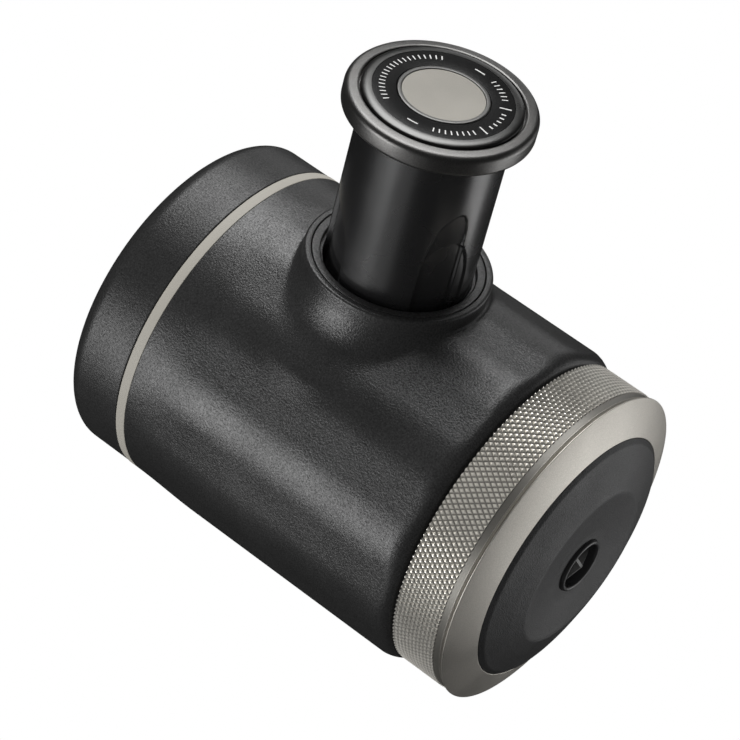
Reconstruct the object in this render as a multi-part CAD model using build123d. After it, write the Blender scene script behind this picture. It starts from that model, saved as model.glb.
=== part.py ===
from build123d import *
import math
import os

# Handheld manual espresso maker, millimetres, +Z up.
# The maker stands upright on its outlet cap: the tank lid is on top and the brewing group is at
# the bottom. The origin is the centre of the outlet cap's rest face. The piston points along +X.

# ---------------------------------------------------------------- fits and clearances
RUNNING_FIT = 0.06        # radial play of a part that slides or turns in a bore
SEAT_GAP = 0.3            # play between pieces that come apart by hand
LID_GAP = 0.15            # play under the lid where it closes on the trim ring
SOCKET_GAP = 0.1          # radial play of a piece fixed in its socket
VALVE_SEAT_GAP = 0.02     # play of a valve ball under its seat

# ---------------------------------------------------------------- outside shape
BODY_FLAT_RADIUS = 35.5       # centre to each flat of the twelve-sided body
FACET_COUNT = 12
FACET_CORNER_RADIUS = 13.0    # rounding of the long edges between two flats
BODY_HEIGHT = 68.85
BODY_WALL = 2.5
BODY_LIP_INSET = 0.3          # how far the body's lower lip lies inside the flats
BODY_LIP_ROUND = 2.2
BODY_LIP_SHARE = 0.29         # where the lip's rounding has its middle corner
BODY_TOP_TAPER = 8.0          # height over which the flats fade out to the round trim ring
BODY_FOOT_TAPER = 3.0         # height over which they fade out to the lower lip
TRIM_HEIGHT = 2.2
LID_HEIGHT = 15.5
LID_EDGE_WIDTH = 9.6          # the lid's rounded edge, measured across
LID_EDGE_HEIGHT = 5.5         # and measured down
LID_INSET = 0.1               # how far the lid's side lies inside the body's flats
LID_FOOT_CHAMFER = 0.4

# ---------------------------------------------------------------- outlet cap
CAP_SHOULDER_HEIGHT = 6.6     # rest face to the top of the bevelled metal shoulder
CAP_SHOULDER_INSET = 0.75     # how far the shoulder lies inside the body's flats
CAP_SHOULDER_ROUND = 0.5
CAP_BEVEL_HEIGHT = 3.45       # rest face to the inner edge of the bevel
CAP_BEVEL_WIDTH = 7.35        # shoulder to the inner edge of the bevel
CAP_NECK_INSET = 1.15         # depth of the fine groove above the shoulder
CAP_NECK_HEIGHT = 1.0
CAP_SPIGOT_HEIGHT = 4.8
CAP_SPIGOT_WALL = 2.3
CAP_SEAL_WIDTH = 1.0
CAP_SEAL_HEIGHT = 1.4
CAP_RING_LEDGE = 2.0          # width of the inward ledge that holds the cap disc
CAP_RING_LEDGE_HEIGHT = 1.4
DISC_REST_RADIUS = 17.0       # radius of the ring that the maker stands on
DISC_REST_WIDTH = 0.8
DISC_SHOULDER_RADIUS = 21.0   # where the convex outer band turns down to the rest ring
DISC_SHOULDER_HEIGHT = 1.1
DISC_DISH_DEPTH = 0.8
DISC_THICKNESS = 1.8
DISC_BAND_THICKNESS = 2.8     # the disc's thickness under the convex outer band
DISC_RIM_HEIGHT = 2.6
DISC_EDGE_WIDTH = 1.0         # the soft edge where the band meets the metal ring
DISC_EDGE_DROP = 0.65
DISC_EDGE_STEP = 0.05
SPOUT_RADIUS = 5.85
SPOUT_WALL = 0.95
SPOUT_FLANGE_RADIUS = 8.0
SPOUT_FLANGE_HEIGHT = 1.2
SPOUT_FINS = 3
SPOUT_FIN_TURN = -30.0        # angle of the first fin
SPOUT_FIN_WIDTH = 0.6
SPOUT_FIN_TOP = 3.5           # rest face to the fins' upper edge
SPOUT_FIN_RISE = 2.0          # how far a fin's lower edge climbs from the hub to the wall
SPOUT_HUB_RADIUS = 0.7

# ---------------------------------------------------------------- portafilter and basket
PORTAFILTER_GAP = 0.1         # fine gap between the cap's neck and the portafilter
BAND_INSET = 1.25             # how far the plain band lies inside the body's flats
BAND_HEIGHT = 1.6
BAND_WALL = 4.25              # plain band to the socket that takes the cap
BAND_EDGE_WIDTH = 0.5
BAND_EDGE_HEIGHT = 0.3
KNURL_INSET = 0.9             # how far the knurled grip lies inside the body's flats
KNURL_HEIGHT = 9.4
KNURL_CHAMFER = 0.4
LIP_GAP = 0.6                 # dark gap between the knurled grip and the body's lip
SPIGOT_HEIGHT = 13.9          # how far the portafilter reaches up into the body
SPIGOT_WALL = 5.5             # spigot's outside to its bore
SPIGOT_SEAL_RISE = 1.7        # grip's top face to the spigot's seal
SPIGOT_SEAL_HEIGHT = 1.6
SPIGOT_SEAL_DEPTH = 1.2
SPIGOT_THREAD_COUNT = 3
SPIGOT_THREAD_GROOVE = 0.7
SPIGOT_THREAD_PITCH = 3.2
BASKET_WALL = 0.9
BASKET_DEPTH = 21.0
BASKET_FLOOR = 0.6
BASKET_FLANGE_INSET = 2.7     # spigot's outside to the edge of the basket's flange
BASKET_FLANGE_HEIGHT = 0.8
BASKET_HOLE_RADIUS = 0.6
BASKET_HOLE_PITCH = 3.4
BASKET_HOLE_RINGS = 5
CAP_SOCKET_HEIGHT = 5.3       # depth of the portafilter's lower socket, which takes the cap

# ---------------------------------------------------------------- brewing group
GASKET_HEIGHT = 1.2
GASKET_WIDTH = 2.5
GROUP_HEAD_HEIGHT = 2.3
GROUP_CHAMBER_INSET = 2.7     # shower plate's edge to the chamber above it
GROUP_CHAMBER_HEIGHT = 0.8
GROUP_POST_RADIUS = 3.0
GROUP_POST_HEIGHT = 1.9
SHOWER_PLATE_HEIGHT = 0.8
SHOWER_HOLE_RADIUS = 0.7
SHOWER_HOLE_PITCH = 4.2
SHOWER_HOLE_FIRST_RING = 5.6
SHOWER_PLATE_EDGE = 2.6       # plain edge outside the rings of holes
SHOWER_SCREW_HEAD_RADIUS = 2.6
SHOWER_SCREW_HEAD_HEIGHT = 1.2
SHOWER_SCREW_RADIUS = 1.2
SHOWER_SCREW_LENGTH = 3.2
GROUP_SCREW_COUNT = 3
GROUP_SCREW_FIRST_ANGLE = 60.0
GROUP_SCREW_INSET = 2.0       # group head's edge to the screws' centres
GROUP_SCREW_HEAD_RADIUS = 1.4
GROUP_SCREW_HEAD_HEIGHT = 1.1
GROUP_SCREW_RADIUS = 0.8
GROUP_SCREW_LENGTH = 3.0
CHANNEL_WIDTH = 3.0
CHANNEL_DEPTH = 1.2
CHANNEL_LENGTH = 12.25        # from the outlet valve to the channel's drop hole

# ---------------------------------------------------------------- piston and pump
SLEEVE_TAIL = 2.6             # piston sleeve left behind the bushing when it is extended
STOWED_GAP = 0.3              # play left under the piston head when it is stowed
BOSS_PROUD = 3.7              # how far the piston boss stands out of the body's flat
BOSS_WALL = 1.5
BOSS_EDGE = 0.4
FLARE_START = 3.2             # where the hollow flare starts below the boss face
FLARE_LENGTH = 11.5           # how far it runs inwards from there
FLARE_SPREAD = 7.55           # and how far it spreads out
FLARE_RADIUS = 17.7
SLEEVE_RADIUS = 14.75
SLEEVE_WALL = 2.55
SLEEVE_TOP = 4.1
BUSHING_WALL = 2.34
BUSHING_DEPTH = 22.2          # boss face to the inner end of the guide bushing
BUSHING_MOUTH_WIDTH = 0.59
BUSHING_MOUTH_DEPTH = 1.2
WIPER_WIDTH = 1.4
WIPER_HEIGHT = 2.0
WIPER_DEPTH = 1.2             # bushing face to the wiper's groove
HOUSING_PLAY = 0.55           # radial play of the sleeve in the cross tube
HOUSING_WALL = 1.7
HOUSING_FLOOR = 0.85          # material between the housing's bore and its plate
CHASSIS_HEIGHT = 3.2
TRACK_DEPTH = 1.0             # depth of the tracks in the piston sleeve
TRACK_TOP_DROP = 12.3         # piston head to the outer end of the tracks
TRACK_SLOT_HEIGHT = 11.1      # height of the outer twist slot
TRACK_CLEARANCE = 0.3
LUG_SETBACK = 1.0             # inner end of the bushing to its lugs
LUG_HEIGHT = 2.5
LUG_HALF_ANGLE = 4.0
LUG_SIDE_ANGLE = 0.8          # play beside a lug, as an angle
LUG_TIP_GAP = 0.15
TWIST_ANGLE = 34.0            # turn of the knob between unlocked and locked
TRACK_EDGE_ANGLES = (-90.0, 164.0, 37.0)   # leading edge of each track, keyed spacing

HEAD_INSET = 0.25             # how far the piston head lies inside the boss
HEAD_HEIGHT = 4.3
HEAD_EDGE_ROUND = 0.9
HEAD_TOP_ROUND = 1.5
HEAD_POCKET_DEPTH = 2.1
HEAD_POCKET_RADIUS = 6.0
HEAD_FLOOR = 0.8
HEAD_RIM_WIDTH = 2.9          # head's edge to the insert's edge
INSERT_GROOVE = 0.35
INSERT_HEIGHT = 1.9
INSERT_BEVEL = 0.7
BADGE_RADIUS = 9.0
BADGE_HEIGHT = 0.7
BADGE_RECESS = 0.6
BADGE_BEVEL = 0.25

PUMP_BORE_RADIUS = 6.5
PUMP_WALL = 2.5
PUMP_FLANGE_HEIGHT = 3.0
PUMP_BACK_GAP = 9.5           # pump flange to the body's bore behind it
PUMP_SCREW_FLOOR = 0.8        # flange left in front of the screw holes
PUMP_BOTTOM_GAP = 0.5         # space left in front of the plunger when it is stowed
PUMP_PORT_RADIUS = 1.6
PLUNGER_LENGTH = 6.8
PLUNGER_SEAL_WIDTH = 1.2
PLUNGER_SEAL_HEIGHT = 2.4
PLUNGER_RUN_OUT = 4.6         # bore left behind the plunger when it is extended
GLAND_HEIGHT = 3.0
ROD_RADIUS = 3.5
ROD_SCREW_RADIUS = 1.5
ROD_SCREW_LENGTH = 8.0
ROD_SCREW_HEAD_RADIUS = 5.2
ROD_SCREW_HEAD_HEIGHT = 1.6
RETURN_SPRING_WIRE = 0.6
RETURN_SPRING_TURNS = 12
RETURN_SPRING_END_GAP = 0.3

# ---------------------------------------------------------------- valve block
MANIFOLD_THICKNESS = 7.5
MANIFOLD_HALF_WIDTH = 8.0
MANIFOLD_DROP = 2.5           # tank floor to the top of the valve block
VALVE_BORE_RADIUS = 2.6
VALVE_BALL_RADIUS = 1.7
VALVE_SEAT_HOLE_RADIUS = 1.1
VALVE_SEAT_HEIGHT = 1.6
VALVE_SPRING_LENGTH = 3.2
VALVE_SPRING_RADIUS = 1.3
VALVE_SPRING_WIRE = 0.2
VALVE_SPRING_TURNS = 5
VALVE_RETAINER_HEIGHT = 0.8
INLET_BALL_RISE = 9.0         # piston axis up to the inlet ball
OUTLET_BALL_DROP = 5.0        # piston axis down to the outlet ball
MANIFOLD_SCREW_RADIUS = 1.0
MANIFOLD_SCREW_HEAD_RADIUS = 1.8
MANIFOLD_SCREW_HEAD_HEIGHT = 0.9
MANIFOLD_SCREW_LENGTH = 9.2
MANIFOLD_SCREW_Y = 5.6
MANIFOLD_SCREW_Z = 8.0
GROMMET_WALL = 1.4
GROMMET_HOLE_RADIUS = 1.5
GROMMET_ABOVE_FLOOR = 0.6

# ---------------------------------------------------------------- water tank and lid
TANK_GAP = 0.35
TANK_FLOOR = 1.6
TANK_WALL = 1.2
TANK_FLANGE_HEIGHT = 1.15
TANK_FLANGE_INSET = 1.7       # how far the tank's flange lies inside the body's flats
NECK_RISE = 10.45             # body top to the neck's rim
NECK_RIM = 1.0                # plain rim above the neck's thread
NECK_THREAD_PITCH = 2.6
NECK_THREAD_COUNT = 3
NECK_THREAD_DEPTH = 0.35
TRIM_INNER_GAP = 0.5
LID_SEAL_HEIGHT = 1.4
LID_SEAL_GAP = 0.1
LID_LINER_PLATE = 1.2
LID_LINER_FOOT_GAP = 0.6
LID_LINER_WALL = 1.6
LID_WALL = 2.0
LID_CAVITY_INSET = 7.4        # lid's bore to the cavity above the liner
LID_CAVITY_HEIGHT = 2.2
VENT_STEM_RADIUS = 0.9
VENT_HEAD_RADIUS = 1.44
VENT_DISC_RADIUS = 4.0
VENT_DISC_HEIGHT = 0.7
VENT_HOLE_RADIUS = 0.6

# ---------------------------------------------------------------- places that follow from the sizes
PORTAFILTER_Z = CAP_SHOULDER_HEIGHT + CAP_NECK_HEIGHT + PORTAFILTER_GAP
KNURL_Z = PORTAFILTER_Z + BAND_HEIGHT
KNURL_TOP_Z = KNURL_Z + KNURL_HEIGHT
BODY_Z = KNURL_TOP_Z + LIP_GAP
BODY_TOP_Z = BODY_Z + BODY_HEIGHT
BODY_LIP_RADIUS = BODY_FLAT_RADIUS - BODY_LIP_INSET
BODY_BORE_RADIUS = BODY_FLAT_RADIUS - BODY_WALL
CAP_SHOULDER_RADIUS = BODY_FLAT_RADIUS - CAP_SHOULDER_INSET
CAP_BEVEL_RADIUS = CAP_SHOULDER_RADIUS - CAP_BEVEL_WIDTH
CAP_NECK_RADIUS = CAP_SHOULDER_RADIUS - CAP_NECK_INSET
BAND_RADIUS = BODY_FLAT_RADIUS - BAND_INSET
CAP_SOCKET_RADIUS = BAND_RADIUS - BAND_WALL
CAP_SPIGOT_RADIUS = CAP_SOCKET_RADIUS - SEAT_GAP
CAP_SPIGOT_Z = CAP_SHOULDER_HEIGHT + CAP_NECK_HEIGHT
CAP_SEAL_Z = CAP_SPIGOT_Z + (CAP_SPIGOT_HEIGHT - CAP_SEAL_HEIGHT) / 2
KNURL_RADIUS = BODY_FLAT_RADIUS - KNURL_INSET
SPIGOT_RADIUS = BODY_BORE_RADIUS - SEAT_GAP
PORTAFILTER_TOP_Z = BODY_Z + SPIGOT_HEIGHT
PORTAFILTER_BORE_RADIUS = SPIGOT_RADIUS - SPIGOT_WALL
BASKET_RADIUS = PORTAFILTER_BORE_RADIUS - SEAT_GAP
BASKET_INNER_RADIUS = BASKET_RADIUS - BASKET_WALL
BASKET_FLANGE_RADIUS = SPIGOT_RADIUS - BASKET_FLANGE_INSET
BASKET_TOP_Z = PORTAFILTER_TOP_Z + BASKET_FLANGE_HEIGHT
BASKET_Z = BASKET_TOP_Z - BASKET_DEPTH
GASKET_Z = BASKET_TOP_Z + SEAT_GAP
GROUP_HEAD_Z = GASKET_Z + GASKET_HEIGHT
CHASSIS_Z = GROUP_HEAD_Z + GROUP_HEAD_HEIGHT
CHASSIS_TOP_Z = CHASSIS_Z + CHASSIS_HEIGHT
CHASSIS_RADIUS = BODY_BORE_RADIUS - SOCKET_GAP
GROUP_SCREW_CIRCLE = CHASSIS_RADIUS - GROUP_SCREW_INSET
SHOWER_PLATE_TOP_Z = GROUP_HEAD_Z + GROUP_CHAMBER_HEIGHT - GROUP_POST_HEIGHT
SHOWER_PLATE_Z = SHOWER_PLATE_TOP_Z - SHOWER_PLATE_HEIGHT
SHOWER_PLATE_RADIUS = BASKET_INNER_RADIUS - SEAT_GAP
SHOWER_HOLE_REACH = SHOWER_PLATE_RADIUS - SHOWER_PLATE_EDGE - SHOWER_HOLE_FIRST_RING
SHOWER_HOLE_RINGS = 1 + int(SHOWER_HOLE_REACH / SHOWER_HOLE_PITCH)
GROUP_CHAMBER_RADIUS = SHOWER_PLATE_RADIUS - GROUP_CHAMBER_INSET

GUIDE_RADIUS = SLEEVE_RADIUS + RUNNING_FIT
BUSHING_RADIUS = GUIDE_RADIUS + BUSHING_WALL
BUSHING_MOUTH_RADIUS = GUIDE_RADIUS + BUSHING_MOUTH_WIDTH
BOSS_BORE_RADIUS = BUSHING_RADIUS + SOCKET_GAP
BOSS_RADIUS = BOSS_BORE_RADIUS + BOSS_WALL
BOSS_X = BODY_FLAT_RADIUS + BOSS_PROUD
BUSHING_BACK_X = BOSS_X - BUSHING_DEPTH
HOUSING_BORE_RADIUS = SLEEVE_RADIUS + HOUSING_PLAY
HOUSING_RADIUS = HOUSING_BORE_RADIUS + HOUSING_WALL
AXIS_Z = CHASSIS_TOP_Z + HOUSING_FLOOR + HOUSING_BORE_RADIUS
PUMP_FLANGE_BACK_X = PUMP_BACK_GAP - BODY_BORE_RADIUS
PUMP_FLANGE_X = PUMP_FLANGE_BACK_X + PUMP_FLANGE_HEIGHT
SLEEVE_END_X = BUSHING_BACK_X - SLEEVE_TAIL
STROKE = SLEEVE_END_X - SEAT_GAP - PUMP_FLANGE_X      # piston travel from stowed to extended
HEAD_X = BOSS_X + STOWED_GAP + STROKE
HEAD_RADIUS = BOSS_RADIUS - HEAD_INSET
INSERT_RADIUS = HEAD_RADIUS - HEAD_RIM_WIDTH
SLEEVE_BORE_RADIUS = SLEEVE_RADIUS - SLEEVE_WALL
SLEEVE_FLOOR_X = HEAD_X - SLEEVE_TOP
PUMP_RADIUS = PUMP_BORE_RADIUS + PUMP_WALL
PLUNGER_X = PUMP_FLANGE_X + STROKE + PUMP_BOTTOM_GAP
PLUNGER_BACK_X = PLUNGER_X + PLUNGER_LENGTH
PUMP_END_X = PLUNGER_BACK_X + PLUNGER_RUN_OUT
GLAND_END_X = PUMP_END_X + GLAND_HEIGHT
LUG_X = BUSHING_BACK_X + LUG_SETBACK
LUG_TOP_X = LUG_X + LUG_HEIGHT
TRACK_END_X = LUG_X - TRACK_CLEARANCE
TRACK_TOP_X = HEAD_X - TRACK_TOP_DROP
TRACK_FLOOR_RADIUS = SLEEVE_RADIUS - TRACK_DEPTH
GROOVE_ANGLE = 2 * (LUG_HALF_ANGLE + LUG_SIDE_ANGLE)
TRACK_ANGLE = TWIST_ANGLE + GROOVE_ANGLE

TANK_Z = AXIS_Z + HOUSING_RADIUS + TANK_GAP
TANK_RADIUS = BODY_BORE_RADIUS - SEAT_GAP
TANK_INNER_RADIUS = TANK_RADIUS - TANK_WALL
TANK_FLANGE_RADIUS = BODY_FLAT_RADIUS - TANK_FLANGE_INSET
MANIFOLD_X = PUMP_FLANGE_BACK_X - MANIFOLD_THICKNESS
VALVE_X = PUMP_FLANGE_BACK_X - MANIFOLD_THICKNESS / 2
CHANNEL_END_X = VALVE_X + CHANNEL_LENGTH
MANIFOLD_TOP_Z = TANK_Z - MANIFOLD_DROP
GROMMET_RADIUS = GROMMET_HOLE_RADIUS + GROMMET_WALL
GROMMET_FLANGE_RADIUS = MANIFOLD_THICKNESS / 2 - 2 * SOCKET_GAP
TRIM_TOP_Z = BODY_TOP_Z + TRIM_HEIGHT
LID_RADIUS = BODY_FLAT_RADIUS - LID_INSET
LID_Z = TRIM_TOP_Z + LID_GAP
LID_TOP_Z = LID_Z + LID_HEIGHT
LID_BORE_RADIUS = LID_RADIUS - LID_WALL
LID_LINER_RADIUS = LID_BORE_RADIUS - SOCKET_GAP
LID_LINER_BORE_RADIUS = LID_LINER_RADIUS - LID_LINER_WALL
LID_CAVITY_RADIUS = LID_BORE_RADIUS - LID_CAVITY_INSET
NECK_RADIUS = LID_LINER_BORE_RADIUS - SEAT_GAP
NECK_INNER_RADIUS = NECK_RADIUS - TANK_WALL
NECK_TOP_Z = BODY_TOP_Z + NECK_RISE
LID_SEAL_Z = NECK_TOP_Z + LID_SEAL_GAP
LID_PLATE_Z = LID_SEAL_Z + LID_SEAL_HEIGHT
LID_PLATE_TOP_Z = LID_PLATE_Z + LID_LINER_PLATE

parts = {}


# ---------------------------------------------------------------- helpers
def disc(radius, z_low, z_high, x=0.0, y=0.0):
    """A round plate or post along Z."""
    plate = Cylinder(radius, z_high - z_low, align=(Align.CENTER, Align.CENTER, Align.MIN))
    return Pos(x, y, z_low) * plate


def tube(outer, inner, z_low, z_high):
    """A round tube along Z."""
    return disc(outer, z_low, z_high) - disc(inner, z_low, z_high)


def x_rod(radius, x_low, x_high, y=0.0, z=AXIS_Z):
    """A round rod along X, on the piston axis unless it is told otherwise."""
    rod = Cylinder(radius, x_high - x_low, align=(Align.CENTER, Align.CENTER, Align.MIN))
    return Pos(x_low, y, z) * Rot(0, 90, 0) * rod


def x_tube(outer, inner, x_low, x_high):
    """A round tube along the piston axis."""
    return x_rod(outer, x_low, x_high) - x_rod(inner, x_low, x_high)


def turned(points):
    """A solid turned about Z from (radius, height) points joined by straight lines."""
    profile = make_face(Plane.XZ * Polyline(*points, close=True))
    return revolve(profile, Axis.Z)


def sector(inner, outer, x_low, x_high, start_angle, sweep_angle):
    """A ring sector about the piston axis; angles turn from +Y towards +Z."""
    profile = make_face(Polyline((x_low, inner), (x_high, inner), (x_high, outer), (x_low, outer),
                                 close=True))
    solid = revolve(profile, Axis.X, revolution_arc=sweep_angle)
    return Pos(0, 0, AXIS_Z) * Rot(start_angle, 0, 0) * solid


def on_circle(count, radius, first_angle=0.0):
    """Places on a circle about Z, as (x, y) pairs."""
    step = 360.0 / count
    angles = [math.radians(first_angle + step * index) for index in range(count)]
    return [(radius * math.cos(angle), radius * math.sin(angle)) for angle in angles]


def perforated(plate, hole_radius, first_ring, pitch, rings, z_low, z_high):
    """Drill rings of round holes through a plate, at about one pitch from each other."""
    tools = []
    for ring in range(rings):
        radius = first_ring + pitch * ring
        count = max(6, int(2 * math.pi * radius / pitch))
        for x, y in on_circle(count, radius):
            tools.append(disc(hole_radius, z_low - 1, z_high + 1, x, y))
    return plate - tools


def coil(radius, wire, height, turns):
    """A round-wire compression coil that climbs from 0 along Z."""
    path = Helix(pitch=height / turns, height=height, radius=radius)
    section = Plane(origin=path @ 0, z_dir=path % 0) * Circle(wire / 2)
    return sweep(section, path=path, is_frenet=True)


# ---------------------------------------------------------------- outlet cap
def make_cap_ring():
    """Bevelled metal ring with the spigot that plugs into the portafilter."""
    spigot_bore = CAP_SPIGOT_RADIUS - CAP_SPIGOT_WALL
    spigot_top = CAP_SPIGOT_Z + CAP_SPIGOT_HEIGHT
    ledge_z = CAP_BEVEL_HEIGHT + DISC_RIM_HEIGHT
    ledge_top = ledge_z + CAP_RING_LEDGE_HEIGHT
    ledge_bore = CAP_BEVEL_RADIUS - CAP_RING_LEDGE
    shoulder_z = CAP_SHOULDER_HEIGHT - CAP_SHOULDER_ROUND
    ring = turned([
        (CAP_BEVEL_RADIUS, CAP_BEVEL_HEIGHT),
        (CAP_SHOULDER_RADIUS - CAP_SHOULDER_ROUND / 2, shoulder_z - CAP_SHOULDER_ROUND / 2),
        (CAP_SHOULDER_RADIUS, shoulder_z),
        (CAP_SHOULDER_RADIUS, CAP_SHOULDER_HEIGHT - CAP_SHOULDER_ROUND / 3),
        (CAP_SHOULDER_RADIUS - CAP_SHOULDER_ROUND / 3, CAP_SHOULDER_HEIGHT),
        (CAP_NECK_RADIUS, CAP_SHOULDER_HEIGHT),
        (CAP_NECK_RADIUS, CAP_SPIGOT_Z),
        (CAP_SPIGOT_RADIUS, CAP_SPIGOT_Z),
        (CAP_SPIGOT_RADIUS, spigot_top),
        (spigot_bore, spigot_top),
        (spigot_bore, ledge_top),
        (ledge_bore, ledge_top),
        (ledge_bore, ledge_z),
        (CAP_BEVEL_RADIUS, ledge_z),
    ])
    groove = tube(CAP_SPIGOT_RADIUS + 1, CAP_SPIGOT_RADIUS - CAP_SEAL_WIDTH, CAP_SEAL_Z,
                  CAP_SEAL_Z + CAP_SEAL_HEIGHT)
    return ring - groove


def make_cap_seal():
    """Rubber ring in the spigot's groove."""
    return tube(CAP_SPIGOT_RADIUS + SEAT_GAP / 3, CAP_SPIGOT_RADIUS - CAP_SEAL_WIDTH, CAP_SEAL_Z,
                CAP_SEAL_Z + CAP_SEAL_HEIGHT)


def make_cap_disc():
    """Moulded disc with a convex outer band, a shallow dish and the socket of the spout."""
    rest_outer = DISC_REST_RADIUS + DISC_REST_WIDTH / 2
    rest_inner = DISC_REST_RADIUS - DISC_REST_WIDTH / 2
    rim_radius = CAP_BEVEL_RADIUS - SOCKET_GAP / 2
    rim_top = CAP_BEVEL_HEIGHT + DISC_RIM_HEIGHT
    body = turned([
        (0, DISC_DISH_DEPTH),
        (SPOUT_FLANGE_RADIUS, DISC_DISH_DEPTH),
        (rest_inner, 0),
        (rest_outer, 0),
        (DISC_SHOULDER_RADIUS, DISC_SHOULDER_HEIGHT),
        (rim_radius - DISC_EDGE_WIDTH, CAP_BEVEL_HEIGHT - DISC_EDGE_DROP),
        (rim_radius, CAP_BEVEL_HEIGHT + DISC_EDGE_STEP),
        (rim_radius, rim_top),
        (rim_radius - DISC_THICKNESS, rim_top),
        (DISC_SHOULDER_RADIUS, DISC_SHOULDER_HEIGHT + DISC_BAND_THICKNESS),
        (rest_inner, DISC_DISH_DEPTH + DISC_THICKNESS),
        (0, DISC_DISH_DEPTH + DISC_THICKNESS),
    ])
    return body - disc(SPOUT_RADIUS + SOCKET_GAP / 2, -1, rim_top)


def make_outlet_spout():
    """Short spout tube, flanged inside the cap disc, with three sloping fins and a hub."""
    flange_z = DISC_DISH_DEPTH + DISC_THICKNESS
    bore = SPOUT_RADIUS - SPOUT_WALL
    spout = disc(SPOUT_RADIUS, 0, flange_z) + disc(SPOUT_FLANGE_RADIUS, flange_z,
                                                   flange_z + SPOUT_FLANGE_HEIGHT)
    spout = spout - disc(bore, -1, flange_z + SPOUT_FLANGE_HEIGHT + 1)
    fin_end = bore + SPOUT_WALL / 2
    side = Polyline((0, 0), (fin_end, SPOUT_FIN_RISE), (fin_end, SPOUT_FIN_TOP), (0, SPOUT_FIN_TOP),
                    close=True)
    fin = extrude(Plane.XZ * make_face(side), SPOUT_FIN_WIDTH / 2, both=True)
    web = disc(SPOUT_HUB_RADIUS, 0, SPOUT_FIN_TOP)
    for index in range(SPOUT_FINS):
        web += Rot(0, 0, SPOUT_FIN_TURN + 360.0 / SPOUT_FINS * index) * fin
    return spout + web


# ---------------------------------------------------------------- portafilter and basket
def make_portafilter_ring():
    """Metal portafilter: plain band, knurled grip and the threaded spigot inside the body."""
    socket_top = PORTAFILTER_Z + CAP_SOCKET_HEIGHT
    ring = turned([
        (CAP_SOCKET_RADIUS, PORTAFILTER_Z),
        (BAND_RADIUS - BAND_EDGE_WIDTH, PORTAFILTER_Z),
        (BAND_RADIUS, PORTAFILTER_Z + BAND_EDGE_HEIGHT),
        (BAND_RADIUS, KNURL_Z),
        (KNURL_RADIUS, KNURL_Z + KNURL_CHAMFER),
        (KNURL_RADIUS, KNURL_TOP_Z - KNURL_CHAMFER),
        (KNURL_RADIUS - KNURL_CHAMFER, KNURL_TOP_Z),
        (SPIGOT_RADIUS, KNURL_TOP_Z),
        (SPIGOT_RADIUS, PORTAFILTER_TOP_Z),
        (PORTAFILTER_BORE_RADIUS, PORTAFILTER_TOP_Z),
        (PORTAFILTER_BORE_RADIUS, socket_top),
        (CAP_SOCKET_RADIUS, socket_top),
    ])
    first_groove = PORTAFILTER_TOP_Z - SPIGOT_THREAD_PITCH
    for index in range(SPIGOT_THREAD_COUNT):
        z_low = first_groove - SPIGOT_THREAD_PITCH * index
        ring -= tube(SPIGOT_RADIUS + 1, SPIGOT_RADIUS - SPIGOT_THREAD_GROOVE, z_low,
                     z_low + SPIGOT_THREAD_PITCH / 2)
    groove_radius = SPIGOT_RADIUS - SPIGOT_SEAL_DEPTH - RUNNING_FIT
    groove_z = KNURL_TOP_Z + SPIGOT_SEAL_RISE - RUNNING_FIT
    groove_height = SPIGOT_SEAL_HEIGHT + 2 * RUNNING_FIT
    return ring - tube(SPIGOT_RADIUS + 1, groove_radius, groove_z, groove_z + groove_height)


def make_portafilter_seal():
    """Rubber ring around the foot of the portafilter's spigot."""
    seal_z = KNURL_TOP_Z + SPIGOT_SEAL_RISE
    return tube(SPIGOT_RADIUS + SEAT_GAP / 2, SPIGOT_RADIUS - SPIGOT_SEAL_DEPTH, seal_z,
                seal_z + SPIGOT_SEAL_HEIGHT)


def make_filter_basket():
    """Pressed filter basket with a turned-out rim and a perforated floor."""
    shell = disc(BASKET_RADIUS, BASKET_Z, BASKET_TOP_Z)
    shell += disc(BASKET_FLANGE_RADIUS, PORTAFILTER_TOP_Z, BASKET_TOP_Z)
    shell -= disc(BASKET_INNER_RADIUS, BASKET_Z + BASKET_FLOOR, BASKET_TOP_Z + 1)
    return perforated(shell, BASKET_HOLE_RADIUS, BASKET_HOLE_PITCH, BASKET_HOLE_PITCH,
                      BASKET_HOLE_RINGS, BASKET_Z, BASKET_Z + BASKET_FLOOR)


# ---------------------------------------------------------------- brewing group
def group_screw_places():
    """Centres of the screws that hold the group head."""
    return on_circle(GROUP_SCREW_COUNT, GROUP_SCREW_CIRCLE, GROUP_SCREW_FIRST_ANGLE)


def make_group_gasket():
    """Flat rubber gasket that seals on the basket's rim."""
    inner = BASKET_INNER_RADIUS + SEAT_GAP
    return tube(inner + GASKET_WIDTH, inner, GASKET_Z, GROUP_HEAD_Z)


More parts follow.
